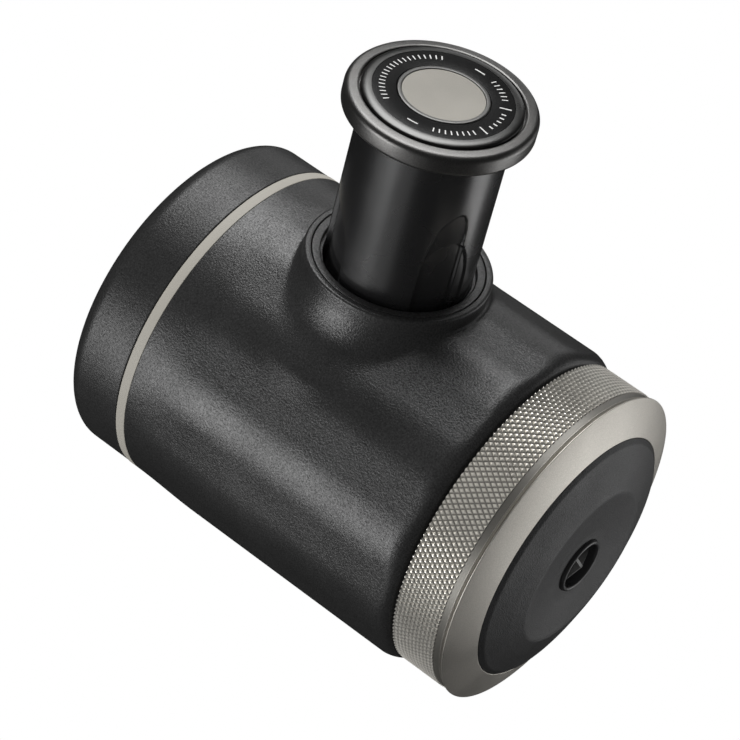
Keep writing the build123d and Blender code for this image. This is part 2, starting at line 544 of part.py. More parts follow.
def make_group_head():
    """Round plate that spreads the water over the shower plate."""
    head = disc(CHASSIS_RADIUS, GROUP_HEAD_Z, CHASSIS_Z)
    chamber_top = GROUP_HEAD_Z + GROUP_CHAMBER_HEIGHT
    head -= disc(GROUP_CHAMBER_RADIUS, GROUP_HEAD_Z - 1, chamber_top)
    head += disc(GROUP_POST_RADIUS, SHOWER_PLATE_TOP_Z, chamber_top)
    head -= disc(SHOWER_SCREW_RADIUS, SHOWER_PLATE_TOP_Z - 1, SHOWER_PLATE_TOP_Z + SHOWER_SCREW_LENGTH)
    channel = Box(CHANNEL_LENGTH, CHANNEL_WIDTH, CHANNEL_DEPTH,
                  align=(Align.MIN, Align.CENTER, Align.MAX))
    head -= Pos(VALVE_X, 0, CHASSIS_Z) * channel
    head -= disc(CHANNEL_WIDTH / 2, GROUP_HEAD_Z, CHASSIS_Z, CHANNEL_END_X)
    for x, y in group_screw_places():
        head -= disc(GROUP_SCREW_HEAD_RADIUS + SOCKET_GAP, GROUP_HEAD_Z - 1,
                     GROUP_HEAD_Z + GROUP_SCREW_HEAD_HEIGHT, x, y)
        head -= disc(GROUP_SCREW_RADIUS + SOCKET_GAP, GROUP_HEAD_Z, CHASSIS_Z, x, y)
    return head


def make_group_screws():
    """Three screws that hold the group head to the chassis."""
    screws = []
    head_top = GROUP_HEAD_Z + GROUP_SCREW_HEAD_HEIGHT
    for x, y in group_screw_places():
        screw = disc(GROUP_SCREW_HEAD_RADIUS, GROUP_HEAD_Z + SOCKET_GAP, head_top, x, y)
        screw += disc(GROUP_SCREW_RADIUS, head_top, head_top + GROUP_SCREW_LENGTH, x, y)
        screws.append(screw)
    return Compound(children=screws)


def make_shower_plate():
    """Perforated shower plate above the coffee."""
    plate = disc(SHOWER_PLATE_RADIUS, SHOWER_PLATE_Z, SHOWER_PLATE_TOP_Z)
    plate -= disc(SHOWER_SCREW_RADIUS + SOCKET_GAP, SHOWER_PLATE_Z - 1, SHOWER_PLATE_TOP_Z + 1)
    return perforated(plate, SHOWER_HOLE_RADIUS, SHOWER_HOLE_FIRST_RING, SHOWER_HOLE_PITCH,
                      SHOWER_HOLE_RINGS, SHOWER_PLATE_Z, SHOWER_PLATE_TOP_Z)


def make_shower_screw():
    """Centre screw of the shower plate, with a straight slot."""
    head_z = SHOWER_PLATE_Z - SHOWER_SCREW_HEAD_HEIGHT
    screw = disc(SHOWER_SCREW_HEAD_RADIUS, head_z, SHOWER_PLATE_Z)
    screw += disc(SHOWER_SCREW_RADIUS - SOCKET_GAP / 2, SHOWER_PLATE_Z,
                  SHOWER_PLATE_Z + SHOWER_SCREW_LENGTH)
    slot = Box(2 * SHOWER_SCREW_HEAD_RADIUS + 1, SHOWER_SCREW_HEAD_RADIUS / 3,
               SHOWER_SCREW_HEAD_HEIGHT / 2, align=(Align.CENTER, Align.CENTER, Align.MIN))
    return screw - Pos(0, 0, head_z) * slot


# ---------------------------------------------------------------- body shell
def make_main_body():
    """Faceted shell with the flared boss for the piston."""
    across = BODY_FLAT_RADIUS / math.cos(math.pi / FACET_COUNT)
    half_step = 180.0 / FACET_COUNT
    lip_corner = BODY_LIP_ROUND * BODY_LIP_SHARE
    section = Rot(0, 0, half_step) * RegularPolygon(across, FACET_COUNT)
    section = fillet(section.vertices(), FACET_CORNER_RADIUS)
    prism = Pos(0, 0, BODY_Z) * extrude(section, BODY_HEIGHT)
    envelope = turned([
        (0, BODY_Z),
        (BODY_LIP_RADIUS - BODY_LIP_ROUND, BODY_Z),
        (BODY_LIP_RADIUS - lip_corner, BODY_Z + lip_corner),
        (BODY_LIP_RADIUS, BODY_Z + BODY_LIP_ROUND),
        (across, BODY_Z + BODY_LIP_ROUND + BODY_FOOT_TAPER),
        (across, BODY_TOP_Z - BODY_TOP_TAPER),
        (BODY_FLAT_RADIUS, BODY_TOP_Z),
        (0, BODY_TOP_Z),
    ])
    shell = prism & envelope
    flare_face = BOSS_X - FLARE_START
    flare_end_x = flare_face - FLARE_LENGTH
    flare_end_radius = BOSS_RADIUS + FLARE_SPREAD
    chord = math.hypot(FLARE_LENGTH, FLARE_SPREAD)
    hollow = FLARE_RADIUS - math.sqrt(FLARE_RADIUS ** 2 - (chord / 2) ** 2)
    flare_mid_x = flare_face - FLARE_LENGTH / 2 - hollow * FLARE_SPREAD / chord
    flare_mid_radius = BOSS_RADIUS + FLARE_SPREAD / 2 - hollow * FLARE_LENGTH / chord
    outline = [
        Line((0, 0), (BOSS_X, 0)),
        Line((BOSS_X, 0), (BOSS_X, BOSS_RADIUS - BOSS_EDGE)),
        Line((BOSS_X, BOSS_RADIUS - BOSS_EDGE), (BOSS_X - BOSS_EDGE, BOSS_RADIUS)),
        Line((BOSS_X - BOSS_EDGE, BOSS_RADIUS), (flare_face, BOSS_RADIUS)),
        ThreePointArc((flare_face, BOSS_RADIUS), (flare_mid_x, flare_mid_radius),
                      (flare_end_x, flare_end_radius)),
        Line((flare_end_x, flare_end_radius), (0, flare_end_radius)),
        Line((0, flare_end_radius), (0, 0)),
    ]
    boss = revolve(make_face(Curve() + outline), Axis.X)
    shell += (Pos(0, 0, AXIS_Z) * boss) & disc(BOSS_X + BOSS_RADIUS, BODY_Z, BODY_TOP_Z)
    shell -= disc(BODY_BORE_RADIUS, BODY_Z - 1, BODY_TOP_Z + 1)
    shell -= disc(TANK_FLANGE_RADIUS + SOCKET_GAP, BODY_TOP_Z - TANK_FLANGE_HEIGHT - SOCKET_GAP,
                  BODY_TOP_Z + 1)
    return shell - x_rod(BOSS_BORE_RADIUS, 0, BOSS_X + 1)


def make_trim_ring():
    """Plain ring between the body and the lid."""
    inner = NECK_RADIUS + TRIM_INNER_GAP
    return tube(BODY_FLAT_RADIUS, inner, BODY_TOP_Z, TRIM_TOP_Z)


# ---------------------------------------------------------------- chassis and piston guide
def make_pump_housing():
    """Inner chassis: a round plate with the cross tube that the piston sleeve runs in."""
    chassis = disc(CHASSIS_RADIUS, CHASSIS_Z, CHASSIS_TOP_Z)
    chassis += x_rod(HOUSING_RADIUS, PUMP_FLANGE_BACK_X, BUSHING_BACK_X)
    chassis -= x_rod(HOUSING_BORE_RADIUS, PUMP_FLANGE_BACK_X - 1, BUSHING_BACK_X + 1)
    chassis -= disc(CHANNEL_WIDTH / 2, CHASSIS_Z - 1, CHASSIS_TOP_Z + 1, VALVE_X)
    chassis -= x_rod(BUSHING_RADIUS + SOCKET_GAP, BUSHING_BACK_X, BOSS_X)
    for x, y in group_screw_places():
        chassis -= disc(GROUP_SCREW_RADIUS + SOCKET_GAP / 2, CHASSIS_Z - 1, CHASSIS_TOP_Z + 1, x, y)
    return chassis


def lug_centre_angle(edge_angle):
    """Middle of the lug that runs in the track whose leading edge is at edge_angle."""
    return edge_angle - LUG_HALF_ANGLE - LUG_SIDE_ANGLE


def make_guide_bushing():
    """Bushing that guides the sleeve, with the lugs that run in the sleeve's tracks."""
    face_x = BOSS_X - SOCKET_GAP
    bushing = x_tube(BUSHING_RADIUS, GUIDE_RADIUS, BUSHING_BACK_X, face_x)
    bushing -= x_rod(BUSHING_MOUTH_RADIUS, face_x - BUSHING_MOUTH_DEPTH, face_x + 1)
    wiper_x = face_x - BUSHING_MOUTH_DEPTH - WIPER_DEPTH
    bushing -= x_rod(GUIDE_RADIUS + WIPER_WIDTH, wiper_x - WIPER_HEIGHT, wiper_x)
    lug_tip = TRACK_FLOOR_RADIUS + LUG_TIP_GAP
    for edge_angle in TRACK_EDGE_ANGLES:
        start = lug_centre_angle(edge_angle) - LUG_HALF_ANGLE
        bushing += sector(lug_tip, GUIDE_RADIUS + HOUSING_WALL / 2, LUG_X, LUG_TOP_X, start,
                          2 * LUG_HALF_ANGLE)
    return bushing


def make_wiper_seal():
    """Wiper ring in the bushing's groove."""
    wiper_x = BOSS_X - SOCKET_GAP - BUSHING_MOUTH_DEPTH - WIPER_DEPTH
    return x_tube(GUIDE_RADIUS + WIPER_WIDTH, GUIDE_RADIUS, wiper_x - WIPER_HEIGHT, wiper_x)


# ---------------------------------------------------------------- piston
def cut_tracks(sleeve):
    """Cut the three tracks: an axial groove with a twist slot at each end."""
    slot_end_x = TRACK_TOP_X - TRACK_SLOT_HEIGHT
    low_slot_top = LUG_TOP_X + TRACK_CLEARANCE
    outer = SLEEVE_RADIUS + 1
    for edge_angle in TRACK_EDGE_ANGLES:
        groove_start = edge_angle - GROOVE_ANGLE
        slot_start = edge_angle - TRACK_ANGLE
        sleeve -= sector(TRACK_FLOOR_RADIUS, outer, TRACK_END_X, TRACK_TOP_X - TRACK_CLEARANCE,
                         groove_start, GROOVE_ANGLE)
        sleeve -= sector(TRACK_FLOOR_RADIUS, outer, slot_end_x, TRACK_TOP_X, slot_start, TRACK_ANGLE)
        sleeve -= sector(TRACK_FLOOR_RADIUS, outer, TRACK_END_X, low_slot_top, slot_start, TRACK_ANGLE)
    return sleeve


def make_piston_sleeve():
    """Outer sleeve of the piston: a cup with tracks for the bushing's lugs."""
    sleeve = x_rod(SLEEVE_RADIUS, SLEEVE_END_X, HEAD_X)
    sleeve -= x_rod(SLEEVE_BORE_RADIUS, SLEEVE_END_X - 1, SLEEVE_FLOOR_X)
    sleeve -= x_rod(ROD_RADIUS + RUNNING_FIT, SLEEVE_FLOOR_X - 1, HEAD_X + 1)
    return cut_tracks(sleeve)


def make_head_rim():
    """Metal rim of the piston head, with the recess of the insert."""
    head_top = HEAD_X + HEAD_HEIGHT
    rim = x_rod(HEAD_RADIUS, HEAD_X, head_top)
    outer_edges = rim.edges().filter_by(GeomType.CIRCLE).sort_by(Axis.X)
    rim = fillet(outer_edges[-1], HEAD_TOP_ROUND)
    lower_edge = rim.edges().filter_by(GeomType.CIRCLE).sort_by(Axis.X)[0]
    rim = fillet(lower_edge, HEAD_EDGE_ROUND)
    insert_x = HEAD_X + HEAD_POCKET_DEPTH + HEAD_FLOOR
    rim -= x_rod(INSERT_RADIUS + INSERT_GROOVE, insert_x, head_top + 1)
    return rim - x_rod(HEAD_POCKET_RADIUS, HEAD_X - 1, HEAD_X + HEAD_POCKET_DEPTH)


def make_head_insert():
    """Round cap plate of the piston head, with the recess of the badge."""
    insert_x = HEAD_X + HEAD_POCKET_DEPTH + HEAD_FLOOR
    insert_top = insert_x + INSERT_HEIGHT
    plate = x_rod(INSERT_RADIUS, insert_x, insert_top)
    top_edge = plate.edges().filter_by(GeomType.CIRCLE).sort_by(Axis.X)[-1]
    plate = chamfer(top_edge, INSERT_BEVEL)
    return plate - x_rod(BADGE_RADIUS + SOCKET_GAP / 2, insert_top - BADGE_RECESS, insert_top + 1)


def make_head_badge():
    """Blank metal disc in the middle of the piston head."""
    badge_x = HEAD_X + HEAD_POCKET_DEPTH + HEAD_FLOOR + INSERT_HEIGHT - BADGE_RECESS
    badge = x_rod(BADGE_RADIUS, badge_x, badge_x + BADGE_HEIGHT)
    top_edge = badge.edges().filter_by(GeomType.CIRCLE).sort_by(Axis.X)[-1]
    return chamfer(top_edge, BADGE_BEVEL)


def make_piston_rod():
    """Rod from the plunger to the piston head; the knob turns on its outer end."""
    rod = x_rod(ROD_RADIUS, PLUNGER_BACK_X, HEAD_X)
    return rod - x_rod(ROD_SCREW_RADIUS, HEAD_X - ROD_SCREW_LENGTH, HEAD_X + 1)


def make_rod_screw():
    """Screw that keeps the knob on the rod."""
    head_x = HEAD_X + SOCKET_GAP
    screw = x_rod(ROD_SCREW_RADIUS - VALVE_SEAT_GAP, HEAD_X - ROD_SCREW_LENGTH, head_x)
    screw += x_rod(ROD_SCREW_HEAD_RADIUS, head_x, head_x + ROD_SCREW_HEAD_HEIGHT)
    return screw


def make_plunger():
    """Pump plunger with the groove of its seal."""
    radius = PUMP_BORE_RADIUS - RUNNING_FIT
    plunger = x_rod(radius, PLUNGER_X, PLUNGER_BACK_X)
    seal_x = PLUNGER_X + (PLUNGER_LENGTH - PLUNGER_SEAL_HEIGHT) / 2
    groove = x_tube(radius + 1, radius - PLUNGER_SEAL_WIDTH, seal_x, seal_x + PLUNGER_SEAL_HEIGHT)
    return plunger - groove


def make_plunger_seal():
    """Lip seal of the plunger."""
    radius = PUMP_BORE_RADIUS - RUNNING_FIT
    seal_x = PLUNGER_X + (PLUNGER_LENGTH - PLUNGER_SEAL_HEIGHT) / 2
    return x_tube(PUMP_BORE_RADIUS - RUNNING_FIT / 2, radius - PLUNGER_SEAL_WIDTH, seal_x,
                  seal_x + PLUNGER_SEAL_HEIGHT)


def make_return_spring():
    """Long coil around the pump tube that pushes the piston out."""
    start_x = PUMP_FLANGE_X + RETURN_SPRING_END_GAP + RETURN_SPRING_WIRE / 2
    end_x = SLEEVE_FLOOR_X - RETURN_SPRING_END_GAP - RETURN_SPRING_WIRE / 2
    radius = (PUMP_RADIUS + SLEEVE_BORE_RADIUS) / 2
    spring = coil(radius, 2 * RETURN_SPRING_WIRE, end_x - start_x, RETURN_SPRING_TURNS)
    return Pos(start_x, 0, AXIS_Z) * Rot(0, 90, 0) * spring


# ---------------------------------------------------------------- pump and valves
def manifold_screw_places():
    """Centres of the valve block's screws, as (y, z) pairs."""
    return [(side * MANIFOLD_SCREW_Y, AXIS_Z + level * MANIFOLD_SCREW_Z)
            for side in (-1, 1) for level in (-1, 1)]


def make_pump_cylinder():
    """Pump tube with its flange, closed but for the port to the valve block."""
    flange_radius = HOUSING_BORE_RADIUS - SOCKET_GAP
    pump = x_rod(flange_radius, PUMP_FLANGE_BACK_X, PUMP_FLANGE_X)
    pump += x_rod(PUMP_RADIUS, PUMP_FLANGE_X, PUMP_END_X)
    pump -= x_rod(PUMP_BORE_RADIUS, PUMP_FLANGE_X, PUMP_END_X + 1)
    pump -= x_rod(PUMP_PORT_RADIUS, PUMP_FLANGE_BACK_X - 1, PUMP_FLANGE_X + 1)
    for y, z in manifold_screw_places():
        pump -= x_rod(MANIFOLD_SCREW_RADIUS + SOCKET_GAP / 2, PUMP_FLANGE_BACK_X - 1,
                      PUMP_FLANGE_X - PUMP_SCREW_FLOOR, y, z)
    return pump


def make_pump_gland():
    """End cap of the pump tube, which guides the rod."""
    gland = x_rod(PUMP_RADIUS, PUMP_END_X, GLAND_END_X)
    return gland - x_rod(ROD_RADIUS + RUNNING_FIT, PUMP_END_X - 1, GLAND_END_X + 1)


def make_valve_manifold():
    """Valve block with one upright bore: inlet valve above, outlet valve below."""
    height = MANIFOLD_TOP_Z - CHASSIS_TOP_Z
    block = Box(MANIFOLD_THICKNESS, 2 * MANIFOLD_HALF_WIDTH, height,
                align=(Align.MIN, Align.CENTER, Align.MIN))
    block = Pos(MANIFOLD_X, 0, CHASSIS_TOP_Z) * block
    block -= disc(VALVE_BORE_RADIUS, CHASSIS_TOP_Z - 1, MANIFOLD_TOP_Z + 1, VALVE_X)
    block -= x_rod(PUMP_PORT_RADIUS, VALVE_X, PUMP_FLANGE_BACK_X + 1)
    for y, z in manifold_screw_places():
        block -= x_rod(MANIFOLD_SCREW_RADIUS + SOCKET_GAP / 2, MANIFOLD_X - 1,
                       PUMP_FLANGE_BACK_X + 1, y, z)
    return block


def make_manifold_screws():
    """Four screws that hold the valve block to the pump flange."""
    screws = []
    for y, z in manifold_screw_places():
        screw = x_rod(MANIFOLD_SCREW_RADIUS, MANIFOLD_X, MANIFOLD_X + MANIFOLD_SCREW_LENGTH, y, z)
        screw += x_rod(MANIFOLD_SCREW_HEAD_RADIUS, MANIFOLD_X - MANIFOLD_SCREW_HEAD_HEIGHT,
                       MANIFOLD_X, y, z)
        screws.append(screw)
    return Compound(children=screws)


def ball_seat_rise():
    """Height from a ball's centre to the edge of its seat."""
    return math.sqrt(VALVE_BALL_RADIUS ** 2 - VALVE_SEAT_HOLE_RADIUS ** 2)


def valve_levels():
    """Heights of the two valve balls: inlet, outlet."""
    return [AXIS_Z + INLET_BALL_RISE, AXIS_Z - OUTLET_BALL_DROP]


def valve_ring(z_low, height):
    """A ring fixed in the valve bore, with the seat's hole."""
    ring = disc(VALVE_BORE_RADIUS - VALVE_SEAT_GAP, z_low, z_low + height, VALVE_X)
    return ring - disc(VALVE_SEAT_HOLE_RADIUS, z_low - 1, z_low + height + 1, VALVE_X)


def make_valve_seats():
    """The two seats, one above each ball."""
    rise = ball_seat_rise() + VALVE_SEAT_GAP
    return Compound(children=[valve_ring(level + rise, VALVE_SEAT_HEIGHT) for level in valve_levels()])


def make_valve_retainers():
    """The two rings that carry the valve springs."""
    drop = VALVE_BALL_RADIUS + VALVE_SPRING_LENGTH + VALVE_RETAINER_HEIGHT
    return Compound(children=[valve_ring(level - drop, VALVE_RETAINER_HEIGHT) for level in valve_levels()])


def make_valve_ball(level):
    """One valve ball."""
    return Pos(VALVE_X, 0, level) * Sphere(VALVE_BALL_RADIUS)


def make_valve_spring(level):
    """The light spring under one valve ball."""
    height = VALVE_SPRING_LENGTH - 2 * VALVE_SPRING_WIRE
    spring = coil(VALVE_SPRING_RADIUS, VALVE_SPRING_WIRE * 2, height, VALVE_SPRING_TURNS)
    base = level - VALVE_BALL_RADIUS - VALVE_SPRING_LENGTH + VALVE_SPRING_WIRE
    return Pos(VALVE_X, 0, base) * spring


# ---------------------------------------------------------------- tank and lid
def make_tank_liner():
    """Water tank with its flange on the body and its threaded neck under the lid."""
    tank = disc(TANK_RADIUS, TANK_Z, BODY_TOP_Z)
    tank += disc(TANK_FLANGE_RADIUS, BODY_TOP_Z - TANK_FLANGE_HEIGHT, BODY_TOP_Z)
    tank += disc(NECK_RADIUS - NECK_THREAD_DEPTH, BODY_TOP_Z, NECK_TOP_Z)
    for index in range(NECK_THREAD_COUNT):
        z_low = NECK_TOP_Z - NECK_RIM - NECK_THREAD_PITCH * (index + 0.5)
        tank += disc(NECK_RADIUS, z_low, z_low + NECK_THREAD_PITCH / 2)
    tank -= disc(TANK_INNER_RADIUS, TANK_Z + TANK_FLOOR, BODY_TOP_Z - TANK_FLANGE_HEIGHT)
    tank -= disc(NECK_INNER_RADIUS, TANK_Z + TANK_FLOOR, NECK_TOP_Z + 1)
    return tank - disc(GROMMET_RADIUS + SOCKET_GAP, TANK_Z - 1, TANK_Z + TANK_FLOOR + 1, VALVE_X)


def make_tank_grommet():
    """Rubber grommet from the tank's floor to the valve block."""
    top = TANK_Z + TANK_FLOOR + GROMMET_ABOVE_FLOOR
    grommet = disc(GROMMET_RADIUS, MANIFOLD_TOP_Z, top, VALVE_X)
    grommet += disc(GROMMET_FLANGE_RADIUS, MANIFOLD_TOP_Z, TANK_Z, VALVE_X)
    return grommet - disc(GROMMET_HOLE_RADIUS, MANIFOLD_TOP_Z - 1, top + 1, VALVE_X)


def make_lid_shell():
    """Outer shell of the lid with its softly rounded edge and a tiny vent hole."""
    edge_centre = (LID_RADIUS - LID_EDGE_WIDTH, LID_TOP_Z - LID_EDGE_HEIGHT)
    edge = EllipticalCenterArc(edge_centre, LID_EDGE_WIDTH, LID_EDGE_HEIGHT, start_angle=0, arc_size=90)
    outline = [
        Line((0, LID_Z), (LID_RADIUS - LID_FOOT_CHAMFER, LID_Z)),
        Line((LID_RADIUS - LID_FOOT_CHAMFER, LID_Z), (LID_RADIUS, LID_Z + LID_FOOT_CHAMFER)),
        Line((LID_RADIUS, LID_Z + LID_FOOT_CHAMFER), (LID_RADIUS, edge_centre[1])),
        edge,
        Line((edge_centre[0], LID_TOP_Z), (0, LID_TOP_Z)),
        Line((0, LID_TOP_Z), (0, LID_Z)),
    ]
    shell = revolve(Plane.XZ * make_face(Curve() + outline), Axis.Z)
    shell -= disc(LID_BORE_RADIUS, LID_Z - 1, LID_PLATE_TOP_Z)
    shell -= disc(LID_CAVITY_RADIUS, LID_PLATE_TOP_Z - 1, LID_PLATE_TOP_Z + LID_CAVITY_HEIGHT)
    return shell - disc(VENT_HOLE_RADIUS, LID_PLATE_TOP_Z, LID_TOP_Z + 1)


def make_lid_liner():
    """Inner liner of the lid, which screws onto the tank's neck."""
    liner = disc(LID_LINER_RADIUS, LID_Z + LID_LINER_FOOT_GAP, LID_PLATE_TOP_Z)
    liner -= disc(LID_LINER_BORE_RADIUS, LID_Z, LID_PLATE_Z)
    return liner - disc(VENT_STEM_RADIUS + SOCKET_GAP, LID_PLATE_Z - 1, LID_PLATE_TOP_Z + 1)


def make_lid_seal():
    """Flat seal between the tank's neck and the lid."""
    return tube(NECK_RADIUS, NECK_INNER_RADIUS, LID_SEAL_Z, LID_PLATE_Z - LID_SEAL_GAP)


def make_lid_vent():
    """Umbrella valve that lets air into the tank."""
    vent = disc(VENT_DISC_RADIUS, LID_PLATE_Z - VENT_DISC_HEIGHT, LID_PLATE_Z)
    vent += disc(VENT_STEM_RADIUS, LID_PLATE_Z, LID_PLATE_TOP_Z)
    return vent + disc(VENT_HEAD_RADIUS, LID_PLATE_TOP_Z, LID_PLATE_TOP_Z + VENT_DISC_HEIGHT)


# ---------------------------------------------------------------- all pieces
def build_parts():
    """Make every piece under its node name."""
    inlet_level, outlet_level = valve_levels()
    parts["cap_ring"] = make_cap_ring()
    parts["cap_seal"] = make_cap_seal()
    parts["cap_disc"] = make_cap_disc()
    parts["outlet_spout"] = make_outlet_spout()
    parts["portafilter_ring"] = make_portafilter_ring()
    parts["portafilter_seal"] = make_portafilter_seal()
    parts["filter_basket"] = make_filter_basket()
    parts["group_gasket"] = make_group_gasket()
    parts["group_head"] = make_group_head()
    parts["group_screws"] = make_group_screws()
    parts["shower_plate"] = make_shower_plate()
    parts["shower_screw"] = make_shower_screw()
    parts["main_body"] = make_main_body()
    parts["trim_ring"] = make_trim_ring()
    parts["pump_housing"] = make_pump_housing()
    parts["guide_bushing"] = make_guide_bushing()
    parts["wiper_seal"] = make_wiper_seal()
    parts["piston_sleeve"] = make_piston_sleeve()
    parts["head_rim"] = make_head_rim()
    parts["head_insert"] = make_head_insert()
    parts["head_badge"] = make_head_badge()
    parts["piston_rod"] = make_piston_rod()
    parts["rod_screw"] = make_rod_screw()
    parts["plunger"] = make_plunger()
    parts["plunger_seal"] = make_plunger_seal()
    parts["return_spring"] = make_return_spring()
    parts["pump_cylinder"] = make_pump_cylinder()
    parts["pump_gland"] = make_pump_gland()
    parts["valve_manifold"] = make_valve_manifold()
    parts["manifold_screws"] = make_manifold_screws()
    parts["valve_seats"] = make_valve_seats()
    parts["valve_retainers"] = make_valve_retainers()
    parts["inlet_ball"] = make_valve_ball(inlet_level)
    parts["outlet_ball"] = make_valve_ball(outlet_level)
    parts["inlet_spring"] = make_valve_spring(inlet_level)
    parts["outlet_spring"] = make_valve_spring(outlet_level)
    parts["tank_liner"] = make_tank_liner()
    parts["tank_grommet"] = make_tank_grommet()
    parts["lid_shell"] = make_lid_shell()
    parts["lid_liner"] = make_lid_liner()
    parts["lid_seal"] = make_lid_seal()
    parts["lid_vent"] = make_lid_vent()


build_parts()
os.makedirs("parts", exist_ok=True)
for name, solid in parts.items():
    export_step(solid, f"parts/{name}.step")
print(f"{len(parts)} pieces, {LID_TOP_Z:.2f} mm tall, piston axis at {AXIS_Z:.2f} mm")
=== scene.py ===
"""Looks of a handheld manual espresso maker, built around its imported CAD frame.

Sizes are millimetres in the frame of the CAD model: Z is up, the maker stands on its outlet cap and
the piston points along +X. Meshes are written in metres.
"""

import logging
import math
from collections.abc import Sequence
from dataclasses import dataclass
from enum import Enum

import bmesh
import bpy
import numpy as np
from mathutils import Matrix, Vector


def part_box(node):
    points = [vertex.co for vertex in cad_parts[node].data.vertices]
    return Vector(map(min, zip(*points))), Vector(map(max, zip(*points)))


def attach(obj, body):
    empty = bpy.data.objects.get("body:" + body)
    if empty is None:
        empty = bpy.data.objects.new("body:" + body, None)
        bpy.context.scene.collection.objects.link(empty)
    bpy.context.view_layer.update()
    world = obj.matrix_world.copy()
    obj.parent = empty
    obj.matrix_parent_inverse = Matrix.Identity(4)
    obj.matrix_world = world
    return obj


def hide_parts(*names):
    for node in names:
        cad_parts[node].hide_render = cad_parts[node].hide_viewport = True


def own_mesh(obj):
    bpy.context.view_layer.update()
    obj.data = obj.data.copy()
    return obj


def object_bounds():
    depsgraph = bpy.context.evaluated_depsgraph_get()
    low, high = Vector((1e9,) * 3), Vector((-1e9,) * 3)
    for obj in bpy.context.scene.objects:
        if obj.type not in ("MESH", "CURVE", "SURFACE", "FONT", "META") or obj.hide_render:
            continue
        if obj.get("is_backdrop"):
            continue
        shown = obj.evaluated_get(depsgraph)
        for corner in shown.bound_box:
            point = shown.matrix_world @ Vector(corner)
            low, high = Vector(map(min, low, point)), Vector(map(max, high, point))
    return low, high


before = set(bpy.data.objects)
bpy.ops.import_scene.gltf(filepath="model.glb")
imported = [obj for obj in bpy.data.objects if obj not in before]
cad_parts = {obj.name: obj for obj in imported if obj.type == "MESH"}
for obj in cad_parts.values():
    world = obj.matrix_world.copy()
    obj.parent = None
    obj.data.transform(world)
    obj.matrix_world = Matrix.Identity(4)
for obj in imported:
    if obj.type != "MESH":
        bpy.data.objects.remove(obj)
log = logging.getLogger("espresso_maker")

MM = 0.001
FULL_TURN = 360.0
HALF_TURN = 180.0
X, Z = 0, 2
ARC_STEP = 15.0           # degrees between two points of a rounding
NEARLY_STRAIGHT = 178.0   # a corner as open as this isn't rounded
EDGE_SHARE = 0.49         # how much of an edge one rounding may take up
WELD_DISTANCE = 1e-7
SLIVER_LENGTH = 1e-8
CRISP_ANGLE = 32.0        # edges sharper than this stay crisp
FINE_SEGMENTS = 240
MEDIUM_SEGMENTS = 180
COARSE_SEGMENTS = 96

Colour = tuple[float, float, float]
Outline = list[tuple[float, float]]
Line = tuple[tuple[float, float], ...]


class TurnAxis(Enum):
    """The line that a turned piece is turned about."""

    UPRIGHT = "the maker's own axis"
    PISTON = "the piston's axis"


class Side(Enum):
    """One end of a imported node's box."""

    LOW = 0
    HIGH = 1


def level(node: str, side: Side, axis: int = Z) -> float:
    """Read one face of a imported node's box.

    Args:
        node: Name of the CAD node.
        side: Which end of the box.
        axis: X or Z.

    Returns:
        The coordinate in millimetres.
    """
    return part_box(node)[side.value][axis] / MM


def span(node: str, axis: int = Z) -> tuple[float, float]:
    """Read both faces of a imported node's box along one axis, in millimetres."""
    return level(node, Side.LOW, axis), level(node, Side.HIGH, axis)


PISTON_Z = sum(span("piston_sleeve")) / 2


def signed_angle(degrees: float) -> float:
    """Bring an angle into the half turns on either side of 0."""
    return (degrees + HALF_TURN) % FULL_TURN - HALF_TURN


# ------------------------------------------------------------------ outlines and meshes
@dataclass(frozen=True)
class Corner:
    """One corner of a turned outline: its radius, its place along the axis and its rounding."""

    radius: float
    along: float
    round: float = 0.0


def corner_arc(before: Corner, corner: Corner, after: Corner, step: float) -> Outline:
    """Round one corner of an outline.

    Args:
        before: The corner before it.
        corner: The corner that is rounded.
        after: The corner after it.
        step: Largest turn between two points of the arc, in degrees.

    Returns:
        The points that take the corner's place.
    """
    here = np.array((corner.radius, corner.along))
    back = np.array((before.radius, before.along)) - here
    ahead = np.array((after.radius, after.along)) - here
    back_length, ahead_length = np.linalg.norm(back), np.linalg.norm(ahead)
    if corner.round <= 0 or back_length == 0 or ahead_length == 0:
        return [tuple(here)]
    back, ahead = back / back_length, ahead / ahead_length
    opening = math.acos(float(np.clip(back @ ahead, -1, 1)))
    if opening > math.radians(NEARLY_STRAIGHT):
        return [tuple(here)]
    reach = min(corner.round / math.tan(opening / 2), EDGE_SHARE * back_length, EDGE_SHARE * ahead_length)
    radius = reach * math.tan(opening / 2)
    middle = back + ahead
    centre = here + middle / np.linalg.norm(middle) * radius / math.sin(opening / 2)
    start = here + back * reach - centre
    end = here + ahead * reach - centre
    turn = math.pi - opening
    count = max(2, math.ceil(math.degrees(turn) / step))
    points = []
    for index in range(count + 1):
        share = index / count
        arm = (math.sin((1 - share) * turn) * start + math.sin(share * turn) * end) / math.sin(turn)
        points.append(tuple(centre + arm))
    return points


def rounded(corners: Sequence[Corner], closed: bool = True, step: float = ARC_STEP) -> Outline:
    """Turn a list of corners into an outline with rounded edges.

    Args:
        corners: The corners in order.
        closed: Whether the last corner joins the first.
        step: Largest turn between two points of an arc, in degrees.

    Returns:
        The points of the outline as (radius, place along the axis).
    """
    points: Outline = []
    last = len(corners) - 1
    for index, corner in enumerate(corners):
        if not closed and index in (0, last):
            points.append((corner.radius, corner.along))
        else:
            points += corner_arc(corners[index - 1], corner, corners[(index + 1) % len(corners)], step)
    return points


